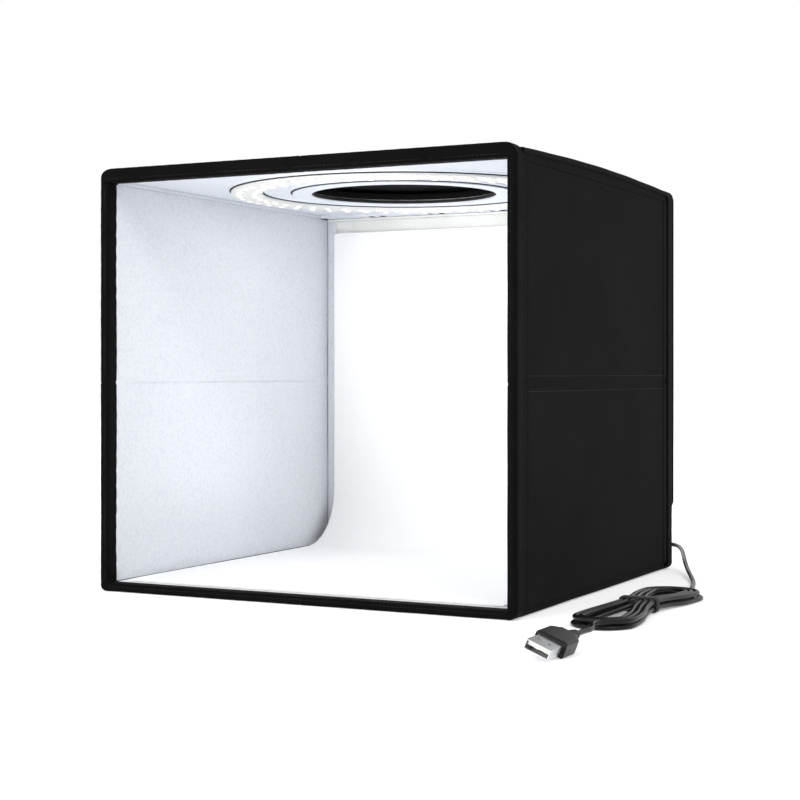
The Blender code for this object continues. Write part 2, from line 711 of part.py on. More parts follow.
def hank_points():
    """One unbroken spiral: in on the lower layer, up along a run, out again on the upper layer."""
    loop = 2 * (RUN_SEGMENTS + FOLD_SEGMENTS)
    last = HANK_LOOPS * loop + RUN_SEGMENTS + EXIT_SEGMENTS
    climb_start = (HANK_LOOPS // 2) * loop + RUN_SEGMENTS + FOLD_SEGMENTS
    turn_back = climb_start + RUN_SEGMENTS / 2
    points = []
    for index in range(last + 1):
        phase = index % loop
        right = phase < RUN_SEGMENTS + FOLD_SEGMENTS
        along = phase if right else phase - RUN_SEGMENTS - FOLD_SEGMENTS
        radius = HANK_INNER_RADIUS + HANK_STEP * abs(index - turn_back) / loop
        climbed = min(1, max(0, (index - climb_start) / RUN_SEGMENTS))
        x, y = radius, HANK_RUN * (0.5 - along / RUN_SEGMENTS)
        if along > RUN_SEGMENTS:
            angle = math.pi * (along - RUN_SEGMENTS) / FOLD_SEGMENTS
            x, y = radius * math.cos(angle), -HANK_RUN / 2 - radius * math.sin(angle)
        waist = hank_waist(y)
        x -= HANK_DRAWN_IN * waist
        if not right:
            x, y = -x, -y
        z = CORD / 2 + HANK_LIFT * waist + HANK_LAYER * climbed
        points.append(Vector((HANK_CENTRE_X + x, HANK_CENTRE_Y + y, z)))
    heading = math.pi * EXIT_SEGMENTS / FOLD_SEGMENTS
    onward = Vector((-math.sin(heading), -math.cos(heading), 0))
    return [points[0] + Vector((0, CORD, 0))] + points + [points[-1] + CORD * onward], onward


def least_self_gap(points, diameter):
    """Least clearance between stretches of one cord that aren't neighbours along it."""
    fine = []
    for p, q in zip(points, points[1:]):
        steps = max(1, round((q - p).length / diameter))
        fine += [p.lerp(q, step / steps) for step in range(steps)]
    return min(
        (fine[j] - fine[i]).length
        for i in range(len(fine))
        for j in range(i + NEIGHBOURS, len(fine))
    ) - diameter


def make_hank(carrier):
    points, onward = hank_points()
    spare = least_self_gap(points, CORD)
    print(f"least gap of the hank to itself {spare / MM:.2f} mm, wanted over {LEAST_SELF_GAP / MM:.1f}")
    tube("cord_hank", points, CORD, carrier, RUBBER, 1)
    return points[0], points[-1], onward


def make_tie(carrier):
    """A flat band round the waist of the hank."""
    outer_run = HANK_INNER_RADIUS + HANK_STEP * HANK_LOOPS / 2 - HANK_DRAWN_IN
    half = outer_run + CORD / 2 + 3 * GAP
    low_z = HANK_LIFT - 2 * GAP
    high_z = HANK_LIFT + HANK_LAYER + CORD + 2 * GAP
    size = Vector((half + TIE_THICK, TIE_WIDTH / 2, 0))
    middle = Vector((HANK_CENTRE_X, HANK_CENTRE_Y, 0))
    low = middle - size + Vector((0, 0, low_z - TIE_THICK))
    high = middle + size + Vector((0, 0, high_z + TIE_THICK))
    tie = block("hank_tie", low, high, carrier, BINDING, by_direction(0, TIE_THICK * 2, 0), segments=3)
    reach = Vector((half, TIE_WIDTH / 2 + OVERRUN, 0))
    bore_low = middle - reach + Vector((0, 0, low_z))
    bore_high = middle + reach + Vector((0, 0, high_z))
    boolean(tie, box_cutter("tie_bore", bore_low, bore_high))


def make_cord(carrier):
    hank_start, hank_end, onward = make_hank(carrier)
    make_tie(carrier)
    leave = Vector((GLAND_X, gland_tip_y() + GAP, GLAND_AXIS_Z))
    across = hank_start - leave
    route = [leave] + [leave + CORD * Vector(shares) for shares in CORD_LOOP_shares]
    for x_share, y_share in CORD_COURSE_shares:
        route.append(Vector((leave.x + x_share * across.x, leave.y + y_share * across.y, CORD / 2)))
    route += [hank_start + Vector((-CORD / 6, 2 * CORD, 0)), hank_start + Vector((0, GAP, 0))]
    course = curve_through(route, CORD_SEGMENT)
    for point in course:
        point.z = max(point.z, CORD / 2)
    tube("cord_lead", course, CORD, carrier, RUBBER)
    plug_tail = Vector((PLUG_X, PLUG_TAIL_Y + GAP, plug_axis_z()))
    rise_z = (hank_end.z + plug_tail.z) / 2
    tail = [
        hank_end + GAP * onward,
        hank_end + 2 * CORD * onward,
        Vector((PLUG_X + CORD / 2, PLUG_TAIL_Y + 7 * CORD, rise_z)),
        plug_tail + Vector((0, 4 * CORD, 0)),
        plug_tail,
    ]
    tube("cord_tail", curve_through(tail, CORD_SEGMENT), CORD, carrier, RUBBER)


def plug_axis_z():
    """The plug lies rolled on one long edge, which is where its rounded corner meets the table."""
    roll = math.radians(PLUG_ROLL_DEGREES)
    wide, thick = PLUG_WIDE / 2 - PLUG_ROUND, PLUG_THICK / 2 - PLUG_ROUND
    return wide * math.sin(roll) + thick * math.cos(roll) + PLUG_ROUND


def plug_outline():
    """Half widths of the moulding along its length, from the neck to the shell."""
    neck, full = PLUG_NECK_WIDE / 2, PLUG_WIDE / 2
    shoulder = PLUG_NECK_LONG
    share_steps = (0.0, 0.25, 0.5, 0.75, 1.0)
    outline = [(neck + (full - neck) * (3 * s ** 2 - 2 * s ** 3), -shoulder * s) for s in share_steps]
    return outline + [(full, -PLUG_LONG)]


def make_plug(carrier):
    axis = body("plug_axis", carrier, (PLUG_X, PLUG_TAIL_Y, plug_axis_z()))
    axis.rotation_euler = (0, math.radians(PLUG_ROLL_DEGREES), 0)
    tip, root = PLUG_RELIEF_TIP, PLUG_RELIEF_ROOT
    relief_mesh = cylinder_mesh("plug_relief", tip, PLUG_RELIEF_LONG, root, RELIEF_SEGMENTS)
    relief = link_mesh("plug_relief", relief_mesh, (0, -PLUG_RELIEF_LONG / 2, 0), PARTS)
    relief.rotation_euler = (math.pi / 2, 0, 0)
    moulding_start = -PLUG_RELIEF_LONG - GAP
    outline = plug_outline()
    curve = bpy.data.curves.new("plug_body", "CURVE")
    curve.dimensions = "2D"
    curve.fill_mode = "BOTH"
    curve.extrude = PLUG_THICK / 2 - PLUG_ROUND
    curve.bevel_depth = PLUG_ROUND
    curve.bevel_resolution = 2
    curve.offset = -PLUG_ROUND
    points = outline + [(-x, y) for x, y in reversed(outline)]
    spline = curve.splines.new("POLY")
    spline.points.add(len(points) - 1)
    for knot, (x, y) in zip(spline.points, points):
        knot.co = (x, y, 0, 1)
    spline.use_cyclic_u = True
    moulding = bpy.data.objects.new("plug_body", curve)
    moulding.location = (0, moulding_start, 0)
    PARTS.objects.link(moulding)
    shell_start = moulding_start - PLUG_LONG - GAP
    shell = plug_shell(shell_start)
    tongue = plug_tongue(shell_start)
    finishes = ((relief, RUBBER), (moulding, RUBBER), (shell, METAL), (tongue, TONGUE_WHITE))
    for piece, finish in finishes:
        piece.data.materials.append(finish)
        piece.parent = axis


def plug_box(name, low, high, collection):
    low, high = Vector(low), Vector(high)
    mesh, _ = box_mesh(name, high - low)
    return link_mesh(name, mesh, (low + high) / 2, collection)


def plug_shell(start):
    """The sheet-metal shell, open at its tip, with the two square windows in each broad face."""
    half_wide, half_thick = SHELL_WIDE / 2, SHELL_THICK / 2
    low = (-half_wide, start - SHELL_LONG, -half_thick)
    shell = plug_box("plug_shell", low, (half_wide, start, half_thick), PARTS)
    cutters = []
    low = (SHELL_WALL - half_wide, start - SHELL_LONG - OVERRUN, SHELL_WALL - half_thick)
    high = (half_wide - SHELL_WALL, start - SHELL_WALL, half_thick - SHELL_WALL)
    cutters.append(plug_box("shell_bore", low, high, CUTTERS))
    middle = start - SHELL_WINDOW_SETBACK
    for index, sign in enumerate((-1, 1)):
        x = sign * SHELL_WINDOW_PITCH / 2
        low = (x - SHELL_WINDOW / 2, middle - SHELL_WINDOW / 2, -half_thick - OVERRUN)
        high = (x + SHELL_WINDOW / 2, middle + SHELL_WINDOW / 2, half_thick + OVERRUN)
        cutters.append(plug_box(f"shell_window_{index}", low, high, CUTTERS))
    for cutter in cutters:
        as_cutter(cutter)
        cutter.parent = bpy.data.objects["plug_axis"]
        boolean(shell, cutter)
    return shell


def plug_tongue(start):
    inner = SHELL_THICK / 2 - SHELL_WALL - GAP
    half = SHELL_WIDE / 2 - SHELL_WALL - GAP
    low = (-half, start - SHELL_LONG + TONGUE_SHORT, inner - TONGUE_THICK)
    return plug_box("plug_tongue", low, (half, start - SHELL_WALL - GAP, inner), PARTS)


def smooth_round_pieces():
    for obj in PARTS.objects:
        if obj.type == "MESH":
            obj.data.shade_smooth()
            obj.data.set_sharp_from_angle(angle=math.radians(35))


def build():
    base = body("base_body")
    make_floor(base)
    make_gland(base)
    make_cord(base)
    make_plug(base)
    make_inner_lead(base)
    uppers = {}
    for side_name, sign in (("left", -1), ("right", 1)):
        lower = body(f"lower_{side_name}_body", base, (sign * HINGE_X, 0, FLOOR_HINGE_Z))
        low_z, high_z = BOTTOM_ROLL + GAP, CREASE_Z - GAP / 2
        side_wall(f"lower_{side_name}", sign, low_z, high_z, lower)
        upper = body(f"upper_{side_name}_body", lower, (sign * SIDE, 0, CREASE_Z))
        low_z, high_z = CREASE_Z + GAP / 2, FRAME_HEIGHT - TOP_ROLL - GAP
        side_wall(f"upper_{side_name}", sign, low_z, high_z, upper)
        uppers[side_name] = upper
    roof = body("roof_body", uppers["left"], (-HINGE_X, 0, ROOF_HINGE_Z))
    make_roof(roof)
    make_light(roof)
    make_flap(body("flap_body", roof, (FLAP_HINGE_X, 0, FLAP_HINGE_Z)))
    make_rear_panel(body("rear_body", base, (0, REAR_HINGE_Y, REAR_HINGE_Z)))
    make_backdrop(body("backdrop_body", base, (0, FRONT, BOTTOM_ROLL)))
    smooth_round_pieces()


build()
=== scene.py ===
import math

import bmesh
import bpy
from mathutils import Matrix, Vector


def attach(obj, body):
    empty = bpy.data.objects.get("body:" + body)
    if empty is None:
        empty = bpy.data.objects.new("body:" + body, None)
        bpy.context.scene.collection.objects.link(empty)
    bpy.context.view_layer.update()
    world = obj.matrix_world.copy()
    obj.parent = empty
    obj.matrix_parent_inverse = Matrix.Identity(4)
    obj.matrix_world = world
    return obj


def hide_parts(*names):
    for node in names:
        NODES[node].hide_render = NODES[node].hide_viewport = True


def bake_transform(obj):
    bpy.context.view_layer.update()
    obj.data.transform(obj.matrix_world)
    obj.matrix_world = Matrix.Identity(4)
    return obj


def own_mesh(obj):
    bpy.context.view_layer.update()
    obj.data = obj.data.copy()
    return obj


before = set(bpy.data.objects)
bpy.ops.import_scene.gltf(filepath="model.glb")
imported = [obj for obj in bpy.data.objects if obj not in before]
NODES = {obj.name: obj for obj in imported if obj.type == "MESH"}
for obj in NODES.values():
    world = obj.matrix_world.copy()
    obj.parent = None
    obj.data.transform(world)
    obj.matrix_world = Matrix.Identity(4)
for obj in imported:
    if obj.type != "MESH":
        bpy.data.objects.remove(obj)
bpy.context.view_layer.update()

# Shapes are worked out in millimetres, and turned into metres where a mesh or curve is made
MM = 0.001
SIDE, FRONT, REAR, TOP = 128, -130, 130, 240
PROUD = 0.6
RAIL_INNER = 123.2
RAIL_SPANS = {"front": (FRONT, -120), "rear": (114.3, 124.3)}
WALL_FACE, LINING_FACE = 127.25, 122.95
WALL_FRONT, WALL_REAR = -119.7, 114.0
MIDDLE_Y, SPAN_Y = (WALL_REAR + WALL_FRONT) / 2, WALL_REAR - WALL_FRONT
CREASE = 118.5
CREASE_START, CREASE_END = CREASE - 2.5, CREASE + 2.5
GAP = 0.3
SIGNS = {"left": -1, "right": 1}


# Materials
class Tree:
    """A shader tree with short calls for its nodes."""

    def __init__(self, owner):
        owner.use_nodes = True
        self.tree = owner.node_tree

    def feed(self, socket, value):
        if isinstance(value, bpy.types.NodeSocket):
            self.tree.links.new(value, socket)
        else:
            socket.default_value = value

    def node(self, kind, settings=None, values=(), **inputs):
        """A node with its settings, and its inputs by number, as values gives them, or by name."""
        made = self.tree.nodes.new("ShaderNode" + kind)
        for key, value in (settings or {}).items():
            setattr(made, key, value)
        for socket, value in zip(made.inputs, values):
            self.feed(socket, value)
        for key, value in inputs.items():
            self.feed(made.inputs[key.replace("_", " ")], value)
        return made

    def maths(self, operation, *values):
        return self.node("Math", {"operation": operation}, values).outputs[0]

    def spread(self, fac, low, high, from_low=0.0, from_high=1.0):
        return self.node("MapRange", Value=fac, From_Min=from_low, From_Max=from_high,
                         To_Min=low, To_Max=high).outputs["Result"]


class Finish(Tree):
    """A Principled material with the patterns that the finishes here are made of."""

    def __init__(self, name, colour, roughness, **sockets):
        self.material = bpy.data.materials.new(name)
        super().__init__(self.material)
        self.place = self.node("TexCoord").outputs["Object"]
        self.set(Base_Color=(*colour, 1), Roughness=roughness, **sockets)

    def set(self, **sockets):
        """Gives the shader's sockets plain values, or links other nodes' outputs to them."""
        for name, value in sockets.items():
            self.feed(self.tree.nodes["Principled BSDF"].inputs[name.replace("_", " ")], value)

    def noise(self, scale, detail=3.0, distortion=0.0, place=None):
        return self.node("TexNoise", Vector=place or self.place, Scale=scale, Detail=detail,
                         Distortion=distortion).outputs["Fac"]

    def mixed(self, first, share, second):
        """Two patterns added up, the first by its share and the second by the rest."""
        return self.maths("ADD", self.maths("MULTIPLY", first, share),
                          self.maths("MULTIPLY", second, 1 - share))

    def blend(self, fac, first, second):
        made = self.node("Mix", {"data_type": "RGBA"})
        for index, value in ((0, fac), (6, (*first, 1)), (7, (*second, 1))):
            self.feed(made.inputs[index], value)
        return made.outputs[2]

    def tint(self, fac, low, high, first, second):
        """The surface's colour goes from first to second as fac goes from low to high."""
        self.set(Base_Color=self.blend(self.spread(fac, 0, 1, low, high), first, second))

    def bump(self, *layers):
        """Layers of (height, strength, distance in mm)."""
        below = {}
        for height, strength, distance in layers:
            made = self.node("Bump", Height=height, Strength=strength, Distance=distance * MM, **below)
            below = {"Normal": made.outputs["Normal"]}
        self.set(**below)


def woven(name, dark, light, pitch, roughness, sheen, specular):
    """A plain weave of that thread pitch with uneven threads, lint and broad wear."""
    made = Finish(name, dark, roughness, Sheen_Weight=sheen, Sheen_Roughness=0.45,
                  Specular_IOR_Level=specular)
    scale = 2 * math.pi / 20 / (pitch * MM)
    threads = [made.node("TexWave", {"bands_direction": way}, Vector=made.place, Scale=scale).outputs["Fac"]
               for way in "XYZ"]
    weave = made.maths("ADD", made.maths("ADD", threads[0], threads[1]), threads[2])
    slub, broad, lint = made.noise(900, 2.0), made.noise(28, 4.0, 0.4), made.noise(4200, 2.0)
    made.tint(made.maths("MULTIPLY_ADD", weave, 0.12, made.mixed(broad, 0.55, slub)), 0.45, 1.0, dark, light)
    made.set(Roughness=made.spread(slub, roughness - 0.07, roughness + 0.07))
    made.bump((broad, 0.25, 0.6), (weave, 0.45, 0.12), (lint, 0.25, 0.05))
    return made.material


def pebbled(name, base, shade, metallic, cell):
    """Foil-faced lining embossed with small uneven pebbles."""
    made = Finish(name, base, 0.5, Metallic=metallic, Specular_IOR_Level=0.3)
    jitter = made.node("TexNoise", Vector=made.place, Scale=0.4 / (cell * MM))
    offset = made.node("VectorMath", {"operation": "SCALE"}, Vector=jitter.outputs["Color"],
                       Scale=cell * MM * 0.9)
    shifted = made.node("VectorMath", values=(made.place, offset.outputs[0]))
    pebble = made.node("TexVoronoi", {"feature": "SMOOTH_F1"}, Vector=shifted.outputs[0],
                       Scale=1 / (cell * MM), Smoothness=0.4).outputs["Distance"]
    fine, broad = made.noise(2600, 2.0), made.noise(16, 3.0, 0.6)
    made.tint(made.mixed(pebble, 0.75, broad), 0.3, 0.75, base, shade)
    made.set(Roughness=made.spread(fine, 0.44, 0.6))
    made.bump((broad, 0.12, 0.5), (pebble, 0.35, 0.24), (fine, 0.12, 0.03))
    return made.material


def moulded(name, base, light, roughness, grain=0.02, **sockets):
    """Moulded or extruded plastic with a fine spark texture and handling wear."""
    made = Finish(name, base, roughness, **sockets)
    spark, broad = made.noise(2400, 3.0), made.noise(90, 4.0)
    made.tint(broad, 0.35, 0.7, base, light)
    made.set(Roughness=made.spread(broad, roughness - 0.06, roughness + 0.1))
    made.bump((spark, 0.3, grain))
    return made.material


def fuzzy(name, base, shade, pitch):
    """Hook or loop tape: a field of tiny tufts in rows."""
    made = Finish(name, base, 0.85, Sheen_Weight=0.3)
    tufts = made.node("TexVoronoi", Vector=made.place, Scale=1 / (pitch * MM),
                      Randomness=0.55).outputs["Distance"]
    made.tint(tufts, 0.1, 0.7, base, shade)
    made.bump((tufts, 0.5, 0.25), (made.noise(3800, 3.0), 0.4, 0.08))
    return made.material


def plated(name, base):
    """Drawn and plated steel with faint smears."""
    made = Finish(name, base, 0.24, Metallic=1.0)
    drawn = made.node("Mapping", Vector=made.place, Scale=(1, 0.06, 1)).outputs[0]
    smear = made.noise(160, 3.0)
    made.set(Roughness=made.spread(smear, 0.18, 0.4))
    made.tint(smear, 0.3, 0.8, base, [c * 0.86 for c in base])
    made.bump((made.noise(3000, 2.0, place=drawn), 0.12, 0.01))
    return made.material


def glowing(name, base, strength):
    """A lit phosphor with a faint grain."""
    made = Finish(name, base, 0.4, Emission_Strength=strength)
    grain = made.noise(2500, 2.0)
    made.set(Emission_Color=made.blend(grain, base, [c * 0.93 for c in base]))
    made.bump((grain, 0.2, 0.05))
    return made.material


CLOTH = woven("black_cloth", (0.0048, 0.0048, 0.0050), (0.0092, 0.0092, 0.0095), 0.62, 0.85, 0.005, 0.035)
BINDING = woven("black_binding", (0.0020, 0.0020, 0.0022), (0.0046, 0.0046, 0.0048), 0.48, 0.68, 0.004, 0.035)
SILVER = pebbled("silver_lining", (0.725, 0.745, 0.785), (0.655, 0.675, 0.72), 0.12, 1.7)
CEILING = pebbled("ceiling_lining", (0.80, 0.825, 0.88), (0.73, 0.76, 0.825), 0.1, 1.5)
PALE = woven("pale_lining", (0.86, 0.865, 0.87), (0.92, 0.925, 0.93), 0.5, 0.6, 0.02, 0.3)
SATIN = woven("rear_satin", (0.90, 0.905, 0.875), (0.94, 0.945, 0.915), 0.5, 0.5, 0.02, 0.3)
THREAD = woven("black_thread", (0.010, 0.010, 0.011), (0.024, 0.024, 0.025), 0.3, 0.55, 0.03, 0.15)
TAPE = fuzzy("off_white_tape", (0.86, 0.865, 0.825), (0.78, 0.785, 0.745), 0.9)
HOOKS = fuzzy("black_hook_tape", (0.007, 0.007, 0.0075), (0.015, 0.015, 0.016), 0.8)
SHEET = moulded("white_sheet", (0.94, 0.94, 0.94), (0.96, 0.96, 0.96), 0.55, 0.015)
BOARD = moulded("stiff_board", (0.36, 0.34, 0.30), (0.46, 0.44, 0.39), 0.8, 0.06)
CIRCUIT = moulded("white_circuit_board", (0.80, 0.80, 0.775), (0.85, 0.85, 0.825), 0.4, 0.01)
DARK = moulded("dark_ring", (0.012, 0.012, 0.012), (0.028, 0.028, 0.028), 0.6, Specular_IOR_Level=0.2)
RUBBER = moulded("charcoal_rubber", (0.0034, 0.0034, 0.0041), (0.0074, 0.0074, 0.0085), 0.32, 0.03,
                 Specular_IOR_Level=0.20)
WHITE_PLASTIC = moulded("white_plastic", (0.78, 0.78, 0.75), (0.86, 0.86, 0.83), 0.45)
METAL = plated("plug_shell_steel", (0.66, 0.67, 0.69))
LED_BODY = moulded("led_package", (0.90, 0.89, 0.85), (0.94, 0.93, 0.90), 0.35)
LED_GLOW = glowing("led_phosphor", (1.0, 0.965, 0.84), 1.1)


# Objects
def metres(*place):
    return tuple(value * MM for value in place)


def add_object(name, data, finish=None):
    obj = bpy.data.objects.new(name, data)
    bpy.context.scene.collection.objects.link(obj)
    if finish:
        data.materials.append(finish)
    return obj


def to_mesh(name, bm):
    bmesh.ops.scale(bm, vec=(MM, MM, MM), verts=bm.verts)
    mesh = bpy.data.meshes.new(name)
    bm.to_mesh(mesh)
    bm.free()
    return mesh


def smooth(mesh, sharp_from):
    mesh.shade_smooth()
    mesh.set_sharp_from_angle(angle=math.radians(sharp_from))


def from_bmesh(name, bm, finish, sharp_from=40):
    bmesh.ops.recalc_face_normals(bm, faces=bm.faces)
    mesh = to_mesh(name, bm)
    smooth(mesh, sharp_from)
    return add_object(name, mesh, finish)


def evaluated_mesh(obj):
    depsgraph = bpy.context.evaluated_depsgraph_get()
    return bpy.data.meshes.new_from_object(obj.evaluated_get(depsgraph))


def thickened(name, bm, finish, thickness):
    """The surface in bm, made into a closed cloth of that thickness behind its face."""
    obj = add_object(name, to_mesh(name, bm), finish)
    wall = obj.modifiers.new("thickness", "SOLIDIFY")
    wall.thickness, wall.offset = thickness * MM, -1
    mesh, surface = evaluated_mesh(obj), obj.data
    obj.modifiers.clear()
    obj.data = mesh
    bpy.data.meshes.remove(surface)
    smooth(mesh, 50)
    return obj


def finish_piece(obj, body, nodes=()):
    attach(obj, body)
    if nodes:
        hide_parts(*nodes)
    return obj


def blend_at_crease(obj, side, part):
    """The piece's place is baked into its mesh; it stands for a part of both halves of a side wall."""
    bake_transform(obj)
    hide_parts(f"lower_{side}_{part}", f"upper_{side}_{part}")


def press_down(obj):
    """The piece gets its own copy of its mesh."""
    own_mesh(obj)


# Shape helpers
def clamp(value):
    return min(1.0, max(0.0, value))


def bell(distance, reach):
    return math.exp(-(distance / reach) ** 2)


def ripple(seed, *waves):
    """A smooth deterministic unevenness of waves, each (height, length along, length across)."""
    def height(along, across):
        total = 0.0
        for index, (size, long_wave, wide_wave) in enumerate(waves):
            phase = seed * 1.7 + index * 2.3
            total += size * math.sin(2 * math.pi * along / long_wave + phase) * math.cos(
                2 * math.pi * across / wide_wave + 0.6 * phase)
        return total
    return height


def rounding(past, radius):
    """How far a rounded corner of that radius has drawn in, at a distance past the start of its arc."""
    return radius - math.sqrt(max(0.0, radius ** 2 - past ** 2)) if past > 0 else 0.0


def spaced(low, high, pitch, marks):
    """Grid lines from low to high about pitch apart, with a fan of close lines round each mark."""
    clear = 1.2
    count = round((high - low) / pitch)
    values = [low + (high - low) * i / count for i in range(count + 1)]
    for mark, offsets in marks:
        fan = [mark + offset for offset in offsets]
        values = [v for v in values if not min(fan) - clear < v < max(fan) + clear] + fan
    return sorted({round(v, 4) for v in values if low - 1e-6 <= v <= high + 1e-6})


def bridge(bm, rings, joined=False):
    """Faces from each ring of vertices to the next, and from the last to the first where they are joined."""
    for a, b in zip(rings, rings[1:] + rings[:1] if joined else rings[1:]):
        for k in range(len(a)):
            j = (k + 1) % len(a)
            bm.faces.new((a[k], a[j], b[j], b[k]))


def cap(bm, ring, tip=None):
    """A fan of faces from a ring to a tip, or to the ring's own middle."""
    middle = bm.verts.new(sum((v.co for v in ring), Vector()) / len(ring) if tip is None else tip)
    for k in range(len(ring)):
        bm.faces.new((ring[k], ring[(k + 1) % len(ring)], middle))


def circle(count):
    """Cosines and sines of that many even steps round a circle."""
    return [(math.cos(2 * math.pi * k / count), math.sin(2 * math.pi * k / count)) for k in range(count)]


def grid_faces(bm, us, vs, place, kept=None):
    """A grid of faces over us and vs, without the cells whose middle isn't kept."""
    grid = {(i, j): bm.verts.new(place(u, v)) for i, u in enumerate(us) for j, v in enumerate(vs)}
    for i in range(len(us) - 1):
        for j in range(len(vs) - 1):
            if kept is None or kept((us[i] + us[i + 1]) / 2, (vs[j] + vs[j + 1]) / 2):
                bm.faces.new((grid[i, j], grid[i + 1, j], grid[i + 1, j + 1], grid[i, j + 1]))
    bmesh.ops.delete(bm, geom=[v for v in bm.verts if not v.link_faces], context="VERTS")


def revolve(name, profile, finish, steps, matrix=None):
    """A closed profile of (radius, height) turned about +Z, then placed by a matrix."""
    bm = bmesh.new()
    bridge(bm, [[bm.verts.new((radius * c, radius * s, height)) for c, s in circle(steps)]
                for radius, height in profile], joined=True)
    bmesh.ops.remove_doubles(bm, verts=bm.verts, dist=0.005)
    if matrix:
        bmesh.ops.transform(bm, matrix=matrix, verts=bm.verts)
    return from_bmesh(name, bm, finish, 50)


AXES = {"X": (0, 1, 2), "Y": (1, 0, 2), "Z": (2, 0, 1)}
UNITS = Vector((1, 0, 0)), Vector((0, 1, 0)), Vector((0, 0, 1))
END_FAN = (0, 0.06, 0.2, 0.5, 1.0, 1.7, 2.6, 3.7, 5.0, 6.6)
SEAM_FAN = (-3.2, -2.2, -1.5, -1.0, -0.6, -0.3, 0, 0.3, 0.6, 1.0, 1.5, 2.2, 3.2)


def section(half_a, half_b, radius, count):
    """Points of a rounded rectangle, evenly by angle of its corners, with its outward normals."""
    points = []
    per_corner = count // 4
    radius = min(radius, half_a, half_b)
    for corner in range(4):
        centre_a = (half_a - radius) * (1 if corner in (0, 3) else -1)
        centre_b = (half_b - radius) * (1 if corner in (0, 1) else -1)
        for step in range(per_corner):
            angle = math.pi / 2 * (corner + step / (per_corner - 1))
            na, nb = math.cos(angle), math.sin(angle)
            points.append((centre_a + radius * na, centre_b + radius * nb, na, nb))
    return points


def padded_roll(name, low, high, axis, radius, finish, seed, shape=None, seams=(), end_radius=0.0):
    """A cloth-covered padded roll along an axis: a rounded section with puckers, drawn in at its seams.

    shape gives how far the low and high side of the second cross axis move at a place along it, seams are
    (place, depth, reach), and end_radius rounds the roll's two ends seen along the second cross axis.
    """
    low, high = zip(*map(sorted, zip(low, high)))
    run, first, second = AXES[axis]
    inset = least = 0.1
    end_taper, least_turn = 7, 0.35
    crown, pitch, sides, around_step = 0.32, 2.2, 24, 1.2
    pucker = ripple(seed, (0.10, 9, 14), (0.06, 4.1, 9), (0.12, 47, 31))
    fans = [(place, SEAM_FAN) for place, _, _ in seams]
    if end_radius:
        fans += [(low[run], END_FAN), (high[run], [-o for o in END_FAN])]
    bm = bmesh.new()
    rings = []
    for along in spaced(low[run], high[run], pitch, fans):
        dip = sum(depth * bell(along - place, reach) for place, depth, reach in seams)
        from_end = min(along - low[run], high[run] - along)
        drawn = rounding(end_radius - from_end, end_radius)
        draw_low, draw_high = shape(along) if shape else (0, 0)
        half_a = max(least, (high[first] - low[first]) / 2 - inset - dip - drawn)
        b_low, b_high = low[second] + draw_low + inset + dip, high[second] + draw_high - inset - dip
        half_b = max(least, (b_high - b_low) / 2)
        centre_a, centre_b = (high[first] + low[first]) / 2, (b_high + b_low) / 2
        turned = radius * min(1.0, max(least_turn, from_end / end_taper)) if end_radius else radius
        ring = []
        for k, (a, b, na, nb) in enumerate(section(half_a, half_b, turned, sides)):
            bulge = pucker(along, k * around_step) / 2 + crown * (1 - max(abs(na), abs(nb)))
            place = [0, 0, 0]
            place[run] = along
            place[first], place[second] = centre_a + a + na * bulge, centre_b + b + nb * bulge
            ring.append(bm.verts.new(place))
        rings.append(ring)
    bridge(bm, rings)
    cap(bm, rings[0])
    cap(bm, rings[-1])
    return from_bmesh(name, bm, finish, 60)


def folded_edge(s, half, radius):
    """Maps a distance from the middle of a cloth to its place across it and its depth below its face."""
    sign, past = (1 if s >= 0 else -1), abs(s) - (half - radius)
    if past <= 0:
        return s, 0.0
    if past <= math.pi / 2 * radius:
        angle = past / radius
        return sign * (half - radius + radius * math.sin(angle)), radius * (1 - math.cos(angle))
    return sign * half, radius + (past - math.pi / 2 * radius)


def steps_over(half, radius, depth, pitch, dense):
    """Distances from -edge to +edge of a cloth with its turned edges, close together at its folds."""
    arc, flat = math.pi / 2 * radius, half - radius
    count = max(2, round(2 * flat / pitch))
    values = {round(-flat + 2 * flat * i / count, 4) for i in range(count + 1)}
    for middle, reach, number in dense:
        values = {v for v in values if abs(v - middle) > reach}
        values |= {round(middle - reach + 2 * reach * i / number, 4) for i in range(number + 1)}
    turned = [flat + arc * t for t in (0.25, 0.5, 0.75, 1.0)]
    if depth > radius:
        turned.append(flat + arc + depth - radius)
    return sorted(values | {round(v, 4) for v in turned} | {round(-v, 4) for v in turned})


def cloth(name, low, high, plane, turn, finish, radius, thickness, depth=0, pitch=5, lift=None, dense_u=(),
          dense_v=()):
    """A flat sheet of cloth between two corners, with rounded, turned-in edges.

    The face looks along u x v, with u the other way round where turn is -1. depth is how far the edges turn
    in, where that is more than their radius.
    """
    i, j = ("xyz".index(axis) for axis in plane)
    half_u, half_v = (high[i] - low[i]) / 2, (high[j] - low[j]) / 2
    centre = (Vector(low) + Vector(high)) / 2
    u_axis, v_axis = turn * UNITS[i], UNITS[j]
    normal = u_axis.cross(v_axis)
    past_turn = 0.6 * radius

    def place(u, v):
        (pu, du), (pv, dv) = folded_edge(u, half_u, radius), folded_edge(v, half_v, radius)
        down = max(du, dv)
        raised = lift(pu, pv) if lift and down < radius / 2 else 0.0
        return centre + u_axis * pu + v_axis * pv + normal * (raised - down)
    bm = bmesh.new()
    grid_faces(bm, steps_over(half_u, radius, depth, pitch, dense_u),
               steps_over(half_v, radius, depth, pitch, dense_v), place,
               lambda u, v: abs(u) <= half_u + past_turn or abs(v) <= half_v + past_turn)
    bmesh.ops.remove_doubles(bm, verts=bm.verts, dist=0.02)
    return thickened(name, bm, finish, thickness)


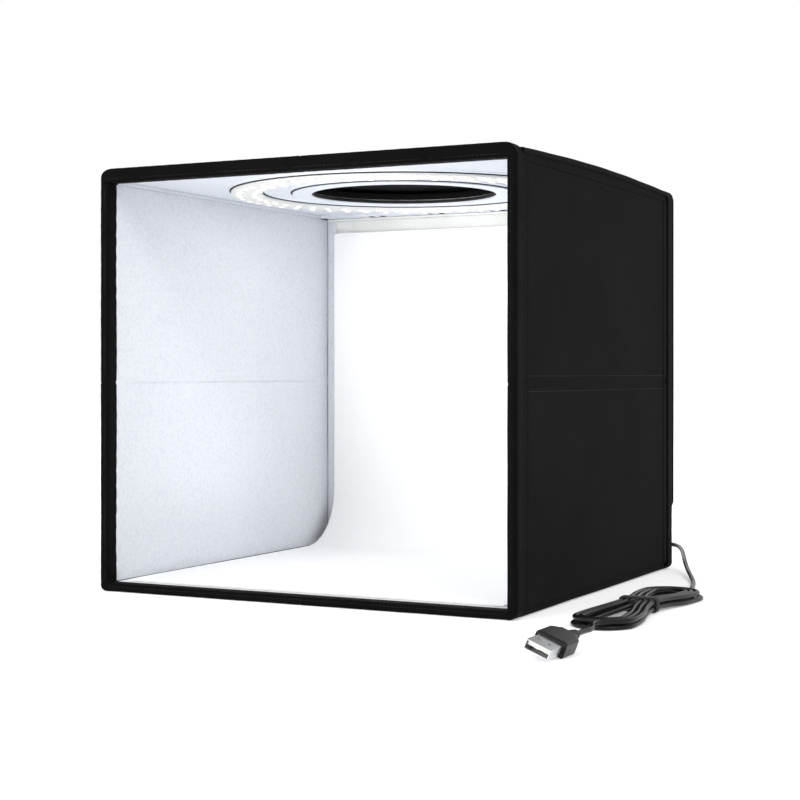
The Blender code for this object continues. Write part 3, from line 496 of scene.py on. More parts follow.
def stitches(name, body, rows, normal, pitch=2.6):
    """Rows of thread stitches, each a small lens lying on the cloth along its row."""
    length, thick, proud = 1.9, 0.32, 0.2
    normal = Vector(normal)
    bm = bmesh.new()
    spare = 0.0
    for a, b in rows:
        a, b = Vector(a), Vector(b)
        run, direction = (b - a).length, (b - a).normalized()
        across = direction.cross(normal)
        if run > 10 * pitch:
            spare = pitch / 2
        while spare < run:
            add_lens(bm, a + direction * spare + normal * thick * proud, direction * length / 2,
                     across * thick / 2, normal * thick / 2)
            spare += pitch
        spare -= run
    return finish_piece(from_bmesh(name, bm, THREAD, 80), body)


def add_lens(bm, middle, long_half, wide_half, high_half):
    rings = []
    for t in (-0.62, 0.0, 0.62):
        size = math.sqrt(1 - t * t * 0.75)
        rings.append([bm.verts.new(middle + long_half * t + size * (wide_half * c + high_half * s))
                      for c, s in circle(6)])
    bridge(bm, rings)
    cap(bm, rings[0], middle - long_half)
    cap(bm, rings[-1], middle + long_half)


# Camera
camera = add_object("camera", bpy.data.cameras.new("camera"))
camera.location = (0.4514, -0.894, 0.1238)
camera.rotation_euler = (math.radians(90), 0, math.radians(26.93))
camera.data.sensor_width = 36
camera.data.lens = 74.64
camera.data.shift_y = -0.0332
bpy.context.scene.camera = camera

# USB lead
CORD = 2.6
GLAND_EXIT = Vector((109.0, 133.9, 12.0))
CORD_LOOP = ((0, 1.5, 0.1), (1.4, 3.75, 0.3), (4.1, 4.5, 0.4), (6.7, 2.9, 0.2), (8.7, -0.55, -0.25),
             (10.6, -5.15, -0.85), (13, -11.5, -1.85), (15.6, -17.65, -3.1))
CORD_COURSE = ((0.692, 0.538), (0.82, 0.771), (0.945, 0.915))
HANK_CENTRE = Vector((172.0, -72.0, 0))
HANK_LOOPS = 5
HANK_RUN, HANK_INNER, HANK_STEP, HANK_LAYER = 104, 7.9, 3.15, 3.2
HANK_DRAWN_IN, HANK_DRAWN_HALF, HANK_LIFT = 6.9, 50, 1.5
RUNS, FOLDS, EXITS = 6, 6, 2
TAIL_COURSE = ((176.0, -143.7), (176.3, -150.5), (179.0, -158.2), (181.7, -165.8), (183.3, -173.0))
PLUG_TAIL = Vector((183.0, -190.7, 6.036))
PLUG_ROLL = 22


def curve_through(points, spacing):
    """Points along a smooth curve through the given ones, about spacing apart."""
    points = [Vector(p) for p in points]
    ends = [2 * points[0] - points[1]] + points + [2 * points[-1] - points[-2]]
    fine = []
    steps = 24
    for a, b, c, d in zip(ends, ends[1:], ends[2:], ends[3:]):
        for t in (step / steps for step in range(steps)):
            fine.append(0.5 * (2 * b + (c - a) * t + (2 * a - 5 * b + 4 * c - d) * t ** 2
                               + (3 * b - a - 3 * c + d) * t ** 3))
    fine.append(points[-1])
    total = sum((q - p).length for p, q in zip(fine, fine[1:]))
    count = max(2, round(total / spacing))
    picked, walked, target = [fine[0]], 0.0, total / count
    for p, q in zip(fine, fine[1:]):
        walked += (q - p).length
        if walked >= target and len(picked) < count:
            picked.append(q)
            target += total / count
    return picked + [fine[-1]]


def hank_points():
    """The same unbroken spiral as the solid: in on the lower layer, up a run, out on the upper layer."""
    loop = 2 * (RUNS + FOLDS)
    last = HANK_LOOPS * loop + RUNS + EXITS
    climb_start = (HANK_LOOPS // 2) * loop + RUNS + FOLDS
    turn_back = climb_start + RUNS / 2
    points = []
    for index in range(last + 1):
        phase = index % loop
        right = phase < RUNS + FOLDS
        along = phase if right else phase - RUNS - FOLDS
        radius = HANK_INNER + HANK_STEP * abs(index - turn_back) / loop
        x, y = radius, HANK_RUN * (0.5 - along / RUNS)
        if along > RUNS:
            angle = math.pi * (along - RUNS) / FOLDS
            x, y = radius * math.cos(angle), -HANK_RUN / 2 - radius * math.sin(angle)
        waist = (1 + math.cos(math.pi * y / HANK_DRAWN_HALF)) / 2 if abs(y) < HANK_DRAWN_HALF else 0
        x -= HANK_DRAWN_IN * waist
        z = CORD / 2 + HANK_LIFT * waist + HANK_LAYER * clamp((index - climb_start) / RUNS)
        points.append(HANK_CENTRE + (Vector((x, y, z)) if right else Vector((-x, -y, z))))
    return [points[0] + Vector((0, CORD, 0))] + points


def cord_path():
    """The lead's course from the gland, through the hank and up into the plug, never below the table."""
    hank = hank_points()
    across = hank[0] - GLAND_EXIT
    route = [GLAND_EXIT] + [GLAND_EXIT + CORD * Vector(shares) for shares in CORD_LOOP]
    route += [Vector((GLAND_EXIT.x + x * across.x, GLAND_EXIT.y + y * across.y, CORD / 2))
              for x, y in CORD_COURSE]
    route += [hank[0] + Vector((-CORD / 6, 2 * CORD, 0))]
    rise = (PLUG_TAIL.z - hank[-1].z) / len(TAIL_COURSE)
    tail = [Vector((x, y, hank[-1].z + rise * (step + 0.5))) for step, (x, y) in enumerate(TAIL_COURSE)]
    points = curve_through(route + hank + tail + [PLUG_TAIL + Vector((0, 4 * CORD, 0)), PLUG_TAIL], 2.0)
    for point in points:
        point.z = max(point.z, CORD / 2)
    return points


def make_tube(name, points, diameter, finish, resolution=5):
    curve = bpy.data.curves.new(name, "CURVE")
    curve.dimensions = "3D"
    curve.bevel_depth = diameter / 2 * MM
    curve.bevel_resolution = resolution
    curve.use_fill_caps = True
    spline = curve.splines.new("POLY")
    spline.points.add(len(points) - 1)
    for knot, point in zip(spline.points, points):
        knot.co = (*metres(*point), 1)
    spline.use_smooth = True
    return add_object(name, curve, finish)


def make_plug_relief():
    """The ribbed relief; the plug's moulding, shell and tongue are the solids."""
    rolled = Matrix.Rotation(math.radians(PLUG_ROLL), 4, "Y") @ Matrix.Rotation(math.pi / 2, 4, "X")
    to_plug = Matrix.Translation(PLUG_TAIL - Vector((0, GAP, 0))) @ rolled
    length, tip, root, ribs, rib_depth, steps = 10, 2.3, 3.4, 4, 0.4, 32
    profile = [(0, 0)]
    for t in (k / steps for k in range(steps + 1)):
        groove = rib_depth * max(0.0, math.sin(2 * math.pi * ribs * t - 0.4)) if 0.08 < t < 0.94 else 0
        profile.append((tip + (root - tip) * t - groove, length * t))
    profile.append((0, length))
    relief = revolve("plug_relief_ribbed", profile, RUBBER, 36, to_plug)
    return finish_piece(relief, "base", ["plug_relief"])


def make_cord():
    path = cord_path()
    flex = make_tube("usb_lead", path, CORD, RUBBER)
    finish_piece(flex, "base", ["cord_lead", "cord_hank", "cord_tail"])
    pieces = [make_plug_relief()] + [NODES[n] for n in ("plug_body", "plug_shell", "plug_tongue")]
    return path


CORD_POINTS = make_cord()
NODE_FINISHES = {"plug_body": RUBBER, "plug_shell": METAL, "plug_tongue": WHITE_PLASTIC,
                 "cable_gland": RUBBER, "light_terminal": WHITE_PLASTIC, "light_carrier": DARK,
                 "light_board": CIRCUIT, "port_ring": DARK, "port_face": CEILING}
for node_name, node in NODES.items():
    node_finish = NODE_FINISHES.get(node_name, BOARD if node_name.endswith("_board") else None)
    if node_finish:
        node.data.materials.clear()
        node.data.materials.append(node_finish)


# Frames
FRAME_CORNER = 7.4
FLOOR_CORNER = 4.9
ROLL_RADIUS = 1.9
SEED_STEP = 1.37


def corner_shape(end):
    """How the outer face of a cross rail rounds off towards its ends, where the frame has its corners."""
    radius = FLOOR_CORNER if end == "floor" else FRAME_CORNER

    def shape(along):
        drawn = rounding(abs(along) - (SIDE + PROUD - radius), radius)
        return (drawn, 0) if end == "floor" else (0, -drawn)
    return shape


def make_rails():
    seed, edge = 1.0, SIDE + PROUD
    for where, (near, far) in RAIL_SPANS.items():
        inner = RAIL_INNER - (0.5 if where == "front" else 0)
        for side, sign in SIGNS.items():
            seed += SEED_STEP
            rail = padded_roll(f"{side}_{where}_rail", (sign * inner, near, 4.85), (sign * edge, far, 232.1),
                               "Z", ROLL_RADIUS, BINDING, seed, seams=((CREASE, 0.16, 0.8),))
            blend_at_crease(rail, side, f"{where}_roll")
        for end, body, z_low, z_high in (("floor", "base", 0, 5), ("roof", "roof", 232, TOP + 0.3)):
            seed += SEED_STEP
            rail = padded_roll(f"{end}_{where}_rail", (-edge, near, z_low), (edge, far, z_high), "X",
                               ROLL_RADIUS, BINDING, seed, corner_shape(end),
                               ((2.5, 0.14, 0.6),) if where == "front" else (), ROLL_RADIUS)
            finish_piece(rail, body, [f"{end}_{where}_roll"])


def make_rims():
    """Each side rim of the roof is a band of wall cloth under a padded lip, both bowed up at mid length."""
    low_bow, high_bow = 2.0, 2.3

    def bow(along):
        return math.cos(math.pi * (along - MIDDLE_Y) / SPAN_Y)
    for side, sign in SIGNS.items():
        rim = padded_roll(f"roof_{side}_padded_rim", (sign * RAIL_INNER, WALL_FRONT, 235.0),
                          (sign * (SIDE + PROUD), WALL_REAR, 238.4), "Y", 1.5, BINDING, 20 + sign,
                          lambda along: (low_bow * bow(along), high_bow * bow(along)))
        finish_piece(rim, "roof", [f"roof_{side}_rim"])
        strip = padded_roll(f"roof_{side}_rim_band", (sign * RAIL_INNER, WALL_FRONT, 231.9),
                            (sign * (WALL_FACE + 0.15), WALL_REAR, 235.5), "Y", 0.15, CLOTH, 30 + sign,
                            lambda along: (0.0, low_bow * bow(along)))
        finish_piece(strip, "roof")


make_rails()
make_rims()

# Walls
HEM = 5.2
WALL_LOW, WALL_HIGH = 4.85, 231.88
LINING_LOW, LINING_HIGH = 5.25, 231.7
LINING_FRONT, LINING_REAR = -122.0, 124.2


def make_wall_skin(side, sign):
    middle_z, half_z = (WALL_LOW + WALL_HIGH) / 2, (WALL_HIGH - WALL_LOW) / 2
    hem_rise, hem_slope, seam_depth, crease_depth, wave_fade = 0.35, 0.7, 0.18, 0.55, 14
    wave = ripple(3.1 + sign, (0.16, 210, 170), (0.07, 61, 83))

    def lift(u, v):
        from_edge = SPAN_Y / 2 - abs(u)
        hem = hem_rise * clamp((HEM - from_edge) / hem_slope + 0.5)
        seam = seam_depth * bell(from_edge - HEM - 0.9, 0.5)
        crease = crease_depth * bell(v - CREASE + middle_z, 1.3)
        inside = clamp(min(from_edge - HEM, half_z - abs(v)) / wave_fade)
        return wave(u, v) * inside + hem - seam - crease
    skin = cloth(f"{side}_wall_cloth", (sign * WALL_FACE, WALL_FRONT, WALL_LOW),
                 (sign * WALL_FACE, WALL_REAR, WALL_HIGH), "yz", sign, CLOTH, 0.35, 0.5, depth=3.6, lift=lift,
                 dense_u=[(end * (SPAN_Y / 2 - HEM), 1.8, 10) for end in (-1, 1)],
                 dense_v=[(CREASE - middle_z, 7, 20)])
    blend_at_crease(skin, side, "skin")


def make_wall_lining(side, sign):
    middle_z, half_y = (LINING_LOW + LINING_HIGH) / 2, (LINING_REAR - LINING_FRONT) / 2
    bulge, crease_depth, crease_end = 0.22, 0.62, 10
    wave = ripple(7.3 + sign, (0.14, 120, 150), (0.06, 37, 49))

    def lift(u, v):
        off, inside = v - CREASE + middle_z, clamp((half_y - abs(u)) / crease_end - 1)
        return wave(u, v) + bulge * bell(off, 3) - crease_depth * inside * bell(off, 0.42)
    lining = cloth(f"{side}_wall_lining", (sign * LINING_FACE, LINING_FRONT, LINING_LOW),
                   (sign * LINING_FACE, LINING_REAR, LINING_HIGH), "yz", -sign, SILVER, 0.25, 0.3, lift=lift,
                   dense_v=[(CREASE - middle_z, 3, 26)])
    blend_at_crease(lining, side, "lining")


def make_wall_stitches():
    """Rows along the hems of the walls, beside their creases, and along the inner edge of the front frame."""
    fine, rail_face = 2.4, FRONT + 0.24
    for side, sign in SIGNS.items():
        for part, low, high, beside in (("lower", WALL_LOW + 2, CREASE_START - 1, CREASE - 4),
                                        ("upper", CREASE_END + 1, WALL_HIGH - 2, CREASE + 4)):
            body, face, edge = f"{part}_{side}", sign * WALL_FACE, sign * (RAIL_INNER + 1.9)
            hem = face + sign * 0.35
            rows = [((hem, y, low), (hem, y, high)) for y in (WALL_FRONT + 2.2, WALL_REAR - 2.2)]
            rows.append(((face, WALL_FRONT + HEM + 3, beside), (face, WALL_REAR - HEM - 3, beside)))
            stitches(f"{body}_wall_stitches", body, rows, (sign, 0, 0))
            rows = [((edge, rail_face, low), (edge, rail_face, high))]
            stitches(f"{body}_rail_stitches", body, rows, (0, -1, 0), fine)
    reach = RAIL_INNER - 1
    for name, z, body in (("floor", 3.0, "base"), ("roof", 234.0, "roof")):
        rows = [((-reach, rail_face, z), (reach, rail_face, z))]
        stitches(f"{name}_rail_stitches", body, rows, (0, -1, 0), fine)


for wall in SIGNS.items():
    make_wall_skin(*wall)
    make_wall_lining(*wall)
make_wall_stitches()

# Floor and roof
ROOF_HALF = 122.6
PORT = 54.5
CEILING_FACE = 234.05


def make_floor():
    skin = cloth("floor_cloth", (-126.4, WALL_FRONT, 0.6), (126.4, WALL_REAR, 0.6), "xy", -1, CLOTH, 0.9, 0.6,
                 depth=4.1, lift=ripple(2.2, (0.12, 170, 130), (0.06, 53, 71)))
    finish_piece(skin, "base", ["floor_skin"])
    lining = cloth("floor_satin", (-122.9, WALL_FRONT - 0.15, 4.98), (122.9, WALL_REAR + 0.15, 4.98), "xy", 1,
                   PALE, 0.3, 0.35)
    finish_piece(lining, "base", ["floor_lining"])


def holed_cloth(name, face_z, hole, finish, thickness, depth, radius, down, lift):
    """A cloth over the roof with a round hole on the Z axis, both its edges turned away from its face.

    down is 1 for a cloth that faces up and -1 for one that faces down.
    """
    per_side, hole_fade, edge_fade = 40, 5, 9
    across = (0, 0.02, 0.06, 0.12, 0.2, 0.29, 0.39, 0.5, 0.61, 0.72, 0.82, 0.9, 0.96, 1.0)
    turns = [math.pi / 2 * share for share in (0.33, 0.67, 1.0)]
    half_x, half_y = ROOF_HALF - radius, SPAN_Y / 2 - radius
    corners = [(half_x, -half_y), (half_x, half_y), (-half_x, half_y), (-half_x, -half_y)]
    outline = [(ax + (bx - ax) * step / per_side, MIDDLE_Y + ay + (by - ay) * step / per_side)
               for (ax, ay), (bx, by) in zip(corners, corners[1:] + corners[:1]) for step in range(per_side)]
    rounds = [(x / math.hypot(x, y), y / math.hypot(x, y)) for x, y in outline]
    rows = [[(cx * hole, cy * hole, depth) for cx, cy in rounds]] if depth > radius else []
    for angle in reversed(turns):
        ring = hole + radius * (1 - math.sin(angle))
        rows.append([(cx * ring, cy * ring, radius * (1 - math.cos(angle))) for cx, cy in rounds])
    for share in across:
        row = []
        for (cx, cy), (x, y) in zip(rounds, outline):
            px = cx * (hole + radius) * (1 - share) + x * share
            py = cy * (hole + radius) * (1 - share) + y * share
            row.append((px, py, -lift(px, py) * min(1.0, share * hole_fade, (1 - share) * edge_fade)))
        rows.append(row)
    for angle in turns:
        grow_x, grow_y = (1 + radius * math.sin(angle) / half for half in (half_x, half_y))
        rows.append([(x * grow_x, MIDDLE_Y + (y - MIDDLE_Y) * grow_y, radius * (1 - math.cos(angle)))
                     for x, y in outline])
    if depth > radius:
        rows.append([(x, y, depth) for x, y, _ in rows[-1]])
    bm = bmesh.new()
    rings = [[bm.verts.new((x, y, face_z - down * below)) for x, y, below in row] for row in rows]
    bridge(bm, rings[::-down])
    return thickened(name, bm, finish, thickness)


def make_roof():
    skin = holed_cloth("roof_cloth", 238.25, PORT, CLOTH, 0.7, 4.0, 0.9, 1,
                       ripple(5.2, (0.20, 150, 190), (0.08, 47, 63)))
    finish_piece(skin, "roof", ["roof_skin"])
    lining = holed_cloth("ceiling_lining", CEILING_FACE, PORT + 1.3, CEILING, 0.3, 0.25, 0.25, -1,
                         ripple(9.4, (0.10, 90, 120), (0.05, 31, 43)))
    finish_piece(lining, "roof", ["roof_lining"])


def make_ceiling_turns():
    """The ceiling's lining turns down at both sides, and at the back it goes on under the rear rail."""
    front, rear, back = -119.95, 114.25, 124.2
    low, under, high = 231.72, 232.05, CEILING_FACE + 0.1
    x, wide = LINING_FACE - 0.22, LINING_FACE - 0.05
    turns = [(f"ceiling_{side}_turn", (sign * x, front, low), (sign * x, rear, high), "yz", -sign, SILVER,
              "silver") for side, sign in SIGNS.items()]
    start = (-wide, rear, under)
    turns += [("ceiling_rear_turn", start, (wide, rear, high), "xz", 1, CEILING, "pale_lining"),
              ("ceiling_rear_underside", start, (wide, back, under), "xy", -1, CEILING, "pale_lining")]
    for *form, slot in turns:
        finish_piece(cloth(*form, 0.15, 0.25), "roof")


def make_ring_bindings():
    """Pale bindings sewn over the edges of the light's carrier and of the ring round the viewing hole."""
    for name, radius, low, outward in (("light_outer_binding", 104.85, 233.0, 1),
                                       ("light_inner_binding", 84.65, 232.9, -1),
                                       ("port_ring_binding", 68.2, 232.5, 1)):
        high = CEILING_FACE + 0.1
        profile = [(radius, low), (radius + outward * 0.8, low + 0.07), (radius + outward * 1.35, low + 0.5),
                   (radius + outward * 1.7, high), (radius, high)]
        finish_piece(revolve(name, profile, CEILING, 96), "roof")


make_floor()
make_roof()
make_ceiling_turns()
make_ring_bindings()

# Rear panel
NOTCH_X, NOTCH_TOP = 102.5, 33.7
REAR_LOW, REAR_IN = 5.85, 124.6
BORDER = 9


def rear_edges(x, z):
    """Distances inside the rear panel from its outer edges and from the cable corner."""
    return min(SIDE - abs(x), TOP - z, z - REAR_LOW), max(NOTCH_X - x, z - NOTCH_TOP)


def rear_corner(x, z):
    """Moves a point of the square panel so that its outer corners and the one over the cable are round."""
    low = REAR_LOW if x < NOTCH_X else NOTCH_TOP
    for sign, up, radius in ((1, TOP, 6), (-1, TOP, 6), (-1, REAR_LOW, 5), (1, low, 9)):
        upward = 1 if up == TOP else -1
        over_x = sign * x - (SIDE - radius)
        over_z = upward * (z - up) + radius
        if over_x > 0 and over_z > 0 and (upward > 0 or sign < 0 or x > NOTCH_X):
            scale = max(over_x, over_z) / math.hypot(over_x, over_z)
            return sign * (SIDE - radius + over_x * scale), up + upward * (over_z * scale - radius)
    return x, z


def make_rear_skin():
    """The padded border and the pocket behind it are one cloth body, notched at the cable corner."""
    radius, outer_y, inner_y = 2.6, REAR - 0.1, REAR_IN + 0.1
    pocket_depth, wall_half, notch_slope, wave_fade, pucker_share = 4.5, 0.4, 3.2, 20, 0.6
    rim, wall, notch = (0, 0.12, 0.4, 0.9, 1.6, 2.6), (-0.45, -0.15, 0.15, 0.45), (0, 0.12, 0.4, 0.8, 0.95)
    back = [-offset for offset in rim]
    xs = spaced(-SIDE, SIDE, 6, [(-SIDE, rim), (SIDE, back), (BORDER - SIDE, wall), (SIDE - BORDER, wall),
                                 (NOTCH_X, [-offset for offset in notch])])
    zs = spaced(REAR_LOW, TOP, 6, [(REAR_LOW, rim), (TOP, back), (REAR_LOW + BORDER, wall),
                                   (TOP - BORDER, wall), (NOTCH_TOP, notch)])
    wave = ripple(4.4, (0.22, 180, 150), (0.10, 57, 71))
    pucker = ripple(6.1, (0.10, 8, 13), (0.08, 21, 17))
    bm = bmesh.new()
    fronts, backs = {}, {}

    def inside(x, z):
        return min(rear_edges(x, z)) >= -1e-4
    for i, x in enumerate(xs):
        for j, z in enumerate(zs):
            if not inside(x, z):
                continue
            outer, corner = rear_edges(x, z)
            near = clamp(min(outer, corner * notch_slope) / radius) * radius
            draw = rounding(radius - near, radius)
            pocket = clamp((outer - BORDER + wall_half) / (2 * wall_half)) if corner >= 0.85 else 0.0
            out_y = outer_y - draw + (0.0 if draw else wave(x, z) * min(1.0, outer / wave_fade))
            in_y = inner_y + draw + pocket * pocket_depth
            if not pocket and not draw:
                in_y += abs(pucker(x, z)) * pucker_share
            at_edge = draw > radius * 0.999
            if at_edge:
                out_y = outer_y - radius
            px, pz = rear_corner(x, z)
            backs[i, j] = bm.verts.new((px, out_y, pz))
            fronts[i, j] = backs[i, j] if at_edge else bm.verts.new((px, in_y, pz))
    for i in range(len(xs) - 1):
        for j in range(len(zs) - 1):
            corners = ((i, j), (i + 1, j), (i + 1, j + 1), (i, j + 1))
            if inside((xs[i] + xs[i + 1]) / 2, (zs[j] + zs[j + 1]) / 2) and all(c in backs for c in corners):
                bm.faces.new([fronts[c] for c in corners])
                bm.faces.new([backs[c] for c in corners][::-1])
    finish_piece(from_bmesh("rear_panel_cloth", bm, CLOTH, 50), "rear", ["rear_skin"])


def make_rear_lining():
    half, low, high = SIDE - BORDER - 0.6, REAR_LOW + BORDER + 0.6, TOP - BORDER - 0.6
    notch_x, notch_z, face_y = NOTCH_X - 1.2, NOTCH_TOP + 1.2, 125.7
    wave = ripple(8.8, (0.16, 110, 130), (0.06, 41, 37))
    bm = bmesh.new()
    grid_faces(bm, spaced(-half, half, 5, [(notch_x, [0])]), spaced(low, high, 5, [(notch_z, [0])]),
               lambda x, z: (x, face_y - wave(x, z), z), lambda x, z: x <= notch_x or z >= notch_z)
    finish_piece(thickened("rear_lining_cloth", bm, SATIN, 0.4), "rear", ["rear_lining"])


def make_rear_facings():
    """Pale facing tapes on the border of the rear panel, beside the backdrop and above it."""
    face_y, inner, outer, top = 124.45, 116, LINING_FACE - 0.1, 231.95
    spans = {"left": (-outer, REAR_LOW + 0.3, -inner, top - 1.5),
             "right": (inner, NOTCH_TOP + 1, outer, top - 1.5), "top": (-outer, top - 1.45, outer, top)}
    for where, (x_low, z_low, x_high, z_high) in spans.items():
        tape = cloth(f"rear_{where}_facing", (x_low, face_y, z_low), (x_high, face_y, z_high), "xz", 1,
                     SATIN if where == "top" else SILVER, 0.1, 0.2)
        finish_piece(tape, "rear")


def make_cable_corner():
    """A gusset of cloth, pale inside, closes the corner that the rear panel leaves open for the cable."""
    low = 4.9
    for name, y, facing, finish, slot in (("cable_corner_cloth", 123.8, -1, CLOTH, "cloth"),
                                          ("cable_corner_lining", 123.42, 1, PALE, "pale_lining")):
        piece = cloth(name, (NOTCH_X - 1.5, y, low), (LINING_FACE - 0.1, y, NOTCH_TOP - 0.4), "xz", facing,
                      finish, 0.1, 0.17, pitch=2.5)
        finish_piece(piece, "base")
        press_down(piece)


make_rear_skin()
make_rear_lining()
make_rear_facings()
make_cable_corner()

# Backdrop
SHEET_HALF, SHEET_THICK = 116.5, 0.8
SHEET_BACK, SHEET_FLOOR, SHEET_TOP = 123.3, 5.3, 221.9
SWEEP = 38


def make_backdrop():
    """A semi-rigid white sheet that lies on the floor, sweeps up and hangs by the tape at its top edge."""
    lying, swept, hanging, columns = 40, 24, 34, 40
    front_y, centre_y, centre_z = -118.5, SHEET_BACK - SWEEP, SHEET_FLOOR + SWEEP
    path = [(front_y + (centre_y - front_y) * t / lying, SHEET_FLOOR, 0) for t in range(lying)]
    for angle in (math.pi / 2 * step / swept for step in range(swept + 1)):
        path.append((centre_y + SWEEP * math.sin(angle), centre_z - SWEEP * math.cos(angle), angle))
    path += [(SHEET_BACK, centre_z + (SHEET_TOP - centre_z) * t / hanging, math.pi / 2)
             for t in range(1, hanging + 1)]
    walked = [0.0]
    for a, b in zip(path, path[1:]):
        walked.append(walked[-1] + math.hypot(b[0] - a[0], b[1] - a[1]))
    wave = ripple(1.9, (0.12, 190, 160), (0.05, 70, 90))

    def place(column, index):
        x = -SHEET_HALF + 2 * SHEET_HALF * column / columns
        y, z, angle = path[index]
        raised = SHEET_THICK + (0.17 + wave(walked[index], x) if 0 < index < len(path) - 1 else 0.0)
        return x, y - math.sin(angle) * raised, z + math.cos(angle) * raised
    bm = bmesh.new()
    grid_faces(bm, range(columns + 1), range(len(path)), place)
    sheet = thickened("white_backdrop", bm, SHEET, SHEET_THICK * 0.95)
    finish_piece(sheet, "backdrop", ["backdrop_sheet"])
    press_down(sheet)


def make_tapes():
    half = 103
    for kind, y, low, high, turn, body in (("loop", 123.65, SHEET_TOP - 9.5, SHEET_TOP, -1, "backdrop"),
                                           ("hook", 124.65, 211.4, 230.4, 1, "rear")):
        tape = cloth(f"backdrop_{kind}_tape_cloth", (-half, y, low), (half, y, high), "xz", turn, TAPE, 0.25,
                     0.5, pitch=2)
        finish_piece(tape, body, [f"backdrop_{kind}_tape"])
        if kind == "loop":
            press_down(tape)


make_tapes()
make_backdrop()

# Light ring
LIGHT_UNDER = 231.2
ROW_RADII = (90.2, 99.4)
PER_ROW = 48
LEDS = {"led_packages": (LED_BODY, ((1.5, 1.85, 0, 0.35), (1.5, 1.85, -0.8, 0.35), (1.4, 1.75, -0.92, 0.3),
                                    (1.32, 1.67, -0.92, 0.25), (1.25, 1.6, -0.84, 0.2))),
        "led_phosphors": (LED_GLOW, ((1.3, 1.65, -0.845, 0.2), (1.3, 1.65, -0.9, 0.2),
                                     (0.78, 0.99, -0.99, 0.15)))}


def add_led(bm, matrix, rows):
    """One body of rows (half width, half length, height, chamfer), closed at both ends."""
    rings = []
    for half_x, half_y, z, chamfer in rows:
        points = []
        for sx, sy in ((1, 1), (-1, 1), (-1, -1), (1, -1)):
            pair = [(sx * half_x, sy * (half_y - chamfer), z), (sx * (half_x - chamfer), sy * half_y, z)]
            points += pair if sx == sy else pair[::-1]
        rings.append([bm.verts.new(matrix @ Vector(p)) for p in points])
    bridge(bm, rings)
    bm.faces.new(rings[0])
    bm.faces.new(rings[-1][::-1])


def make_leds():
    """Over each stud of the board sits a white package with a recessed phosphor window."""
    for name, (finish, rows) in LEDS.items():
        bm = bmesh.new()
        for row, radius in enumerate(ROW_RADII):
            for index in range(PER_ROW):
                angle = 2 * math.pi * (index + row / 2) / PER_ROW
                turn = Matrix.Rotation(angle, 4, "Z") @ Matrix.Translation((radius, 0, LIGHT_UNDER))
                add_led(bm, turn, rows)
        finish_piece(from_bmesh(name, bm, finish, 35), "roof")


make_leds()


# Viewing flap
def drawn_in(outline, share):
    """The outline shrunk to that share about its middle."""
    middle = sum(outline, Vector()) / len(outline)
    return [middle + (p - middle) * share for p in outline]


def least_reach(outline):
    middle = sum(outline, Vector()) / len(outline)
    return min((p - middle).length for p in outline)


def rounded_outline(x_low, x_high, y_low, y_high, radius):
    per_corner, pitch = 8, 2.5
    points = []
    corners = ((x_high - radius, y_high - radius, 0), (x_low + radius, y_high - radius, 1),
               (x_low + radius, y_low + radius, 2), (x_high - radius, y_low + radius, 3))
    for x, y, quarter in corners:
        for step in range(per_corner + 1):
            angle = math.pi / 2 * (quarter + step / per_corner)
            points.append(Vector((x + radius * math.cos(angle), y + radius * math.sin(angle), 0)))
    return evenly(points, pitch)


def evenly(loop, pitch):
    """A closed loop of points with more of them on its long sides, about pitch apart."""
    filled = []
    for a, b in zip(loop, loop[1:] + loop[:1]):
        pieces = max(1, round((b - a).length / pitch))
        filled += [a.lerp(b, t / pieces) for t in range(pieces)]
    return filled


def hem_band(name, outline, wide, low_z, high_z, finish):
    """A closed band of doubled cloth that hangs down along an outline."""
    inner = drawn_in(outline, 1 - wide / least_reach(outline))
    bm = bmesh.new()
    corners = ((outline, low_z), (outline, high_z), (inner, high_z), (inner, low_z))
    bridge(bm, [[bm.verts.new((p.x, p.y, z)) for p in loop] for loop, z in corners], joined=True)
    return from_bmesh(name, bm, finish)


def pillow(name, outline, low_z, high_z, finish, lift=None, groove=None):
    """A flat stuffed or doubled cloth with that outline: rounded edge, and a sewn groove inside it."""
    least, half, middle_z = least_reach(outline), (high_z - low_z) / 2, (high_z + low_z) / 2
    groove_depth, groove_reach, beside = 0.22, 0.45, 0.7
    insets = [0, 0.12 * half, 0.45 * half, half]
    if groove:
        insets += [groove - beside, groove, groove + beside]
    shares = [1 - inset / least for inset in insets if inset < 0.8 * least]
    shares += [shares[-1] * t for t in (0.85, 0.68, 0.5, 0.32, 0.16)]
    bm = bmesh.new()

    def layer(sign, shares):
        rings = []
        for share in shares:
            inset = (1 - share) * least
            rise = half * math.sqrt(max(0.0, 1 - (1 - min(inset, half) / half) ** 2))
            if groove:
                rise -= groove_depth * bell(inset - groove, groove_reach)
            lifted = lift and inset > 0.99 * half
            z = middle_z + sign * rise
            rings.append([bm.verts.new((q.x, q.y, z + (lift(q.x, q.y) if lifted else 0.0)))
                          for q in drawn_in(outline, share)])
        return rings
    top = layer(1, shares)
    for rings in (top, top[:1] + layer(-1, shares[1:])):
        bridge(bm, rings)
        cap(bm, rings[-1])
    return from_bmesh(name, bm, finish, 50)


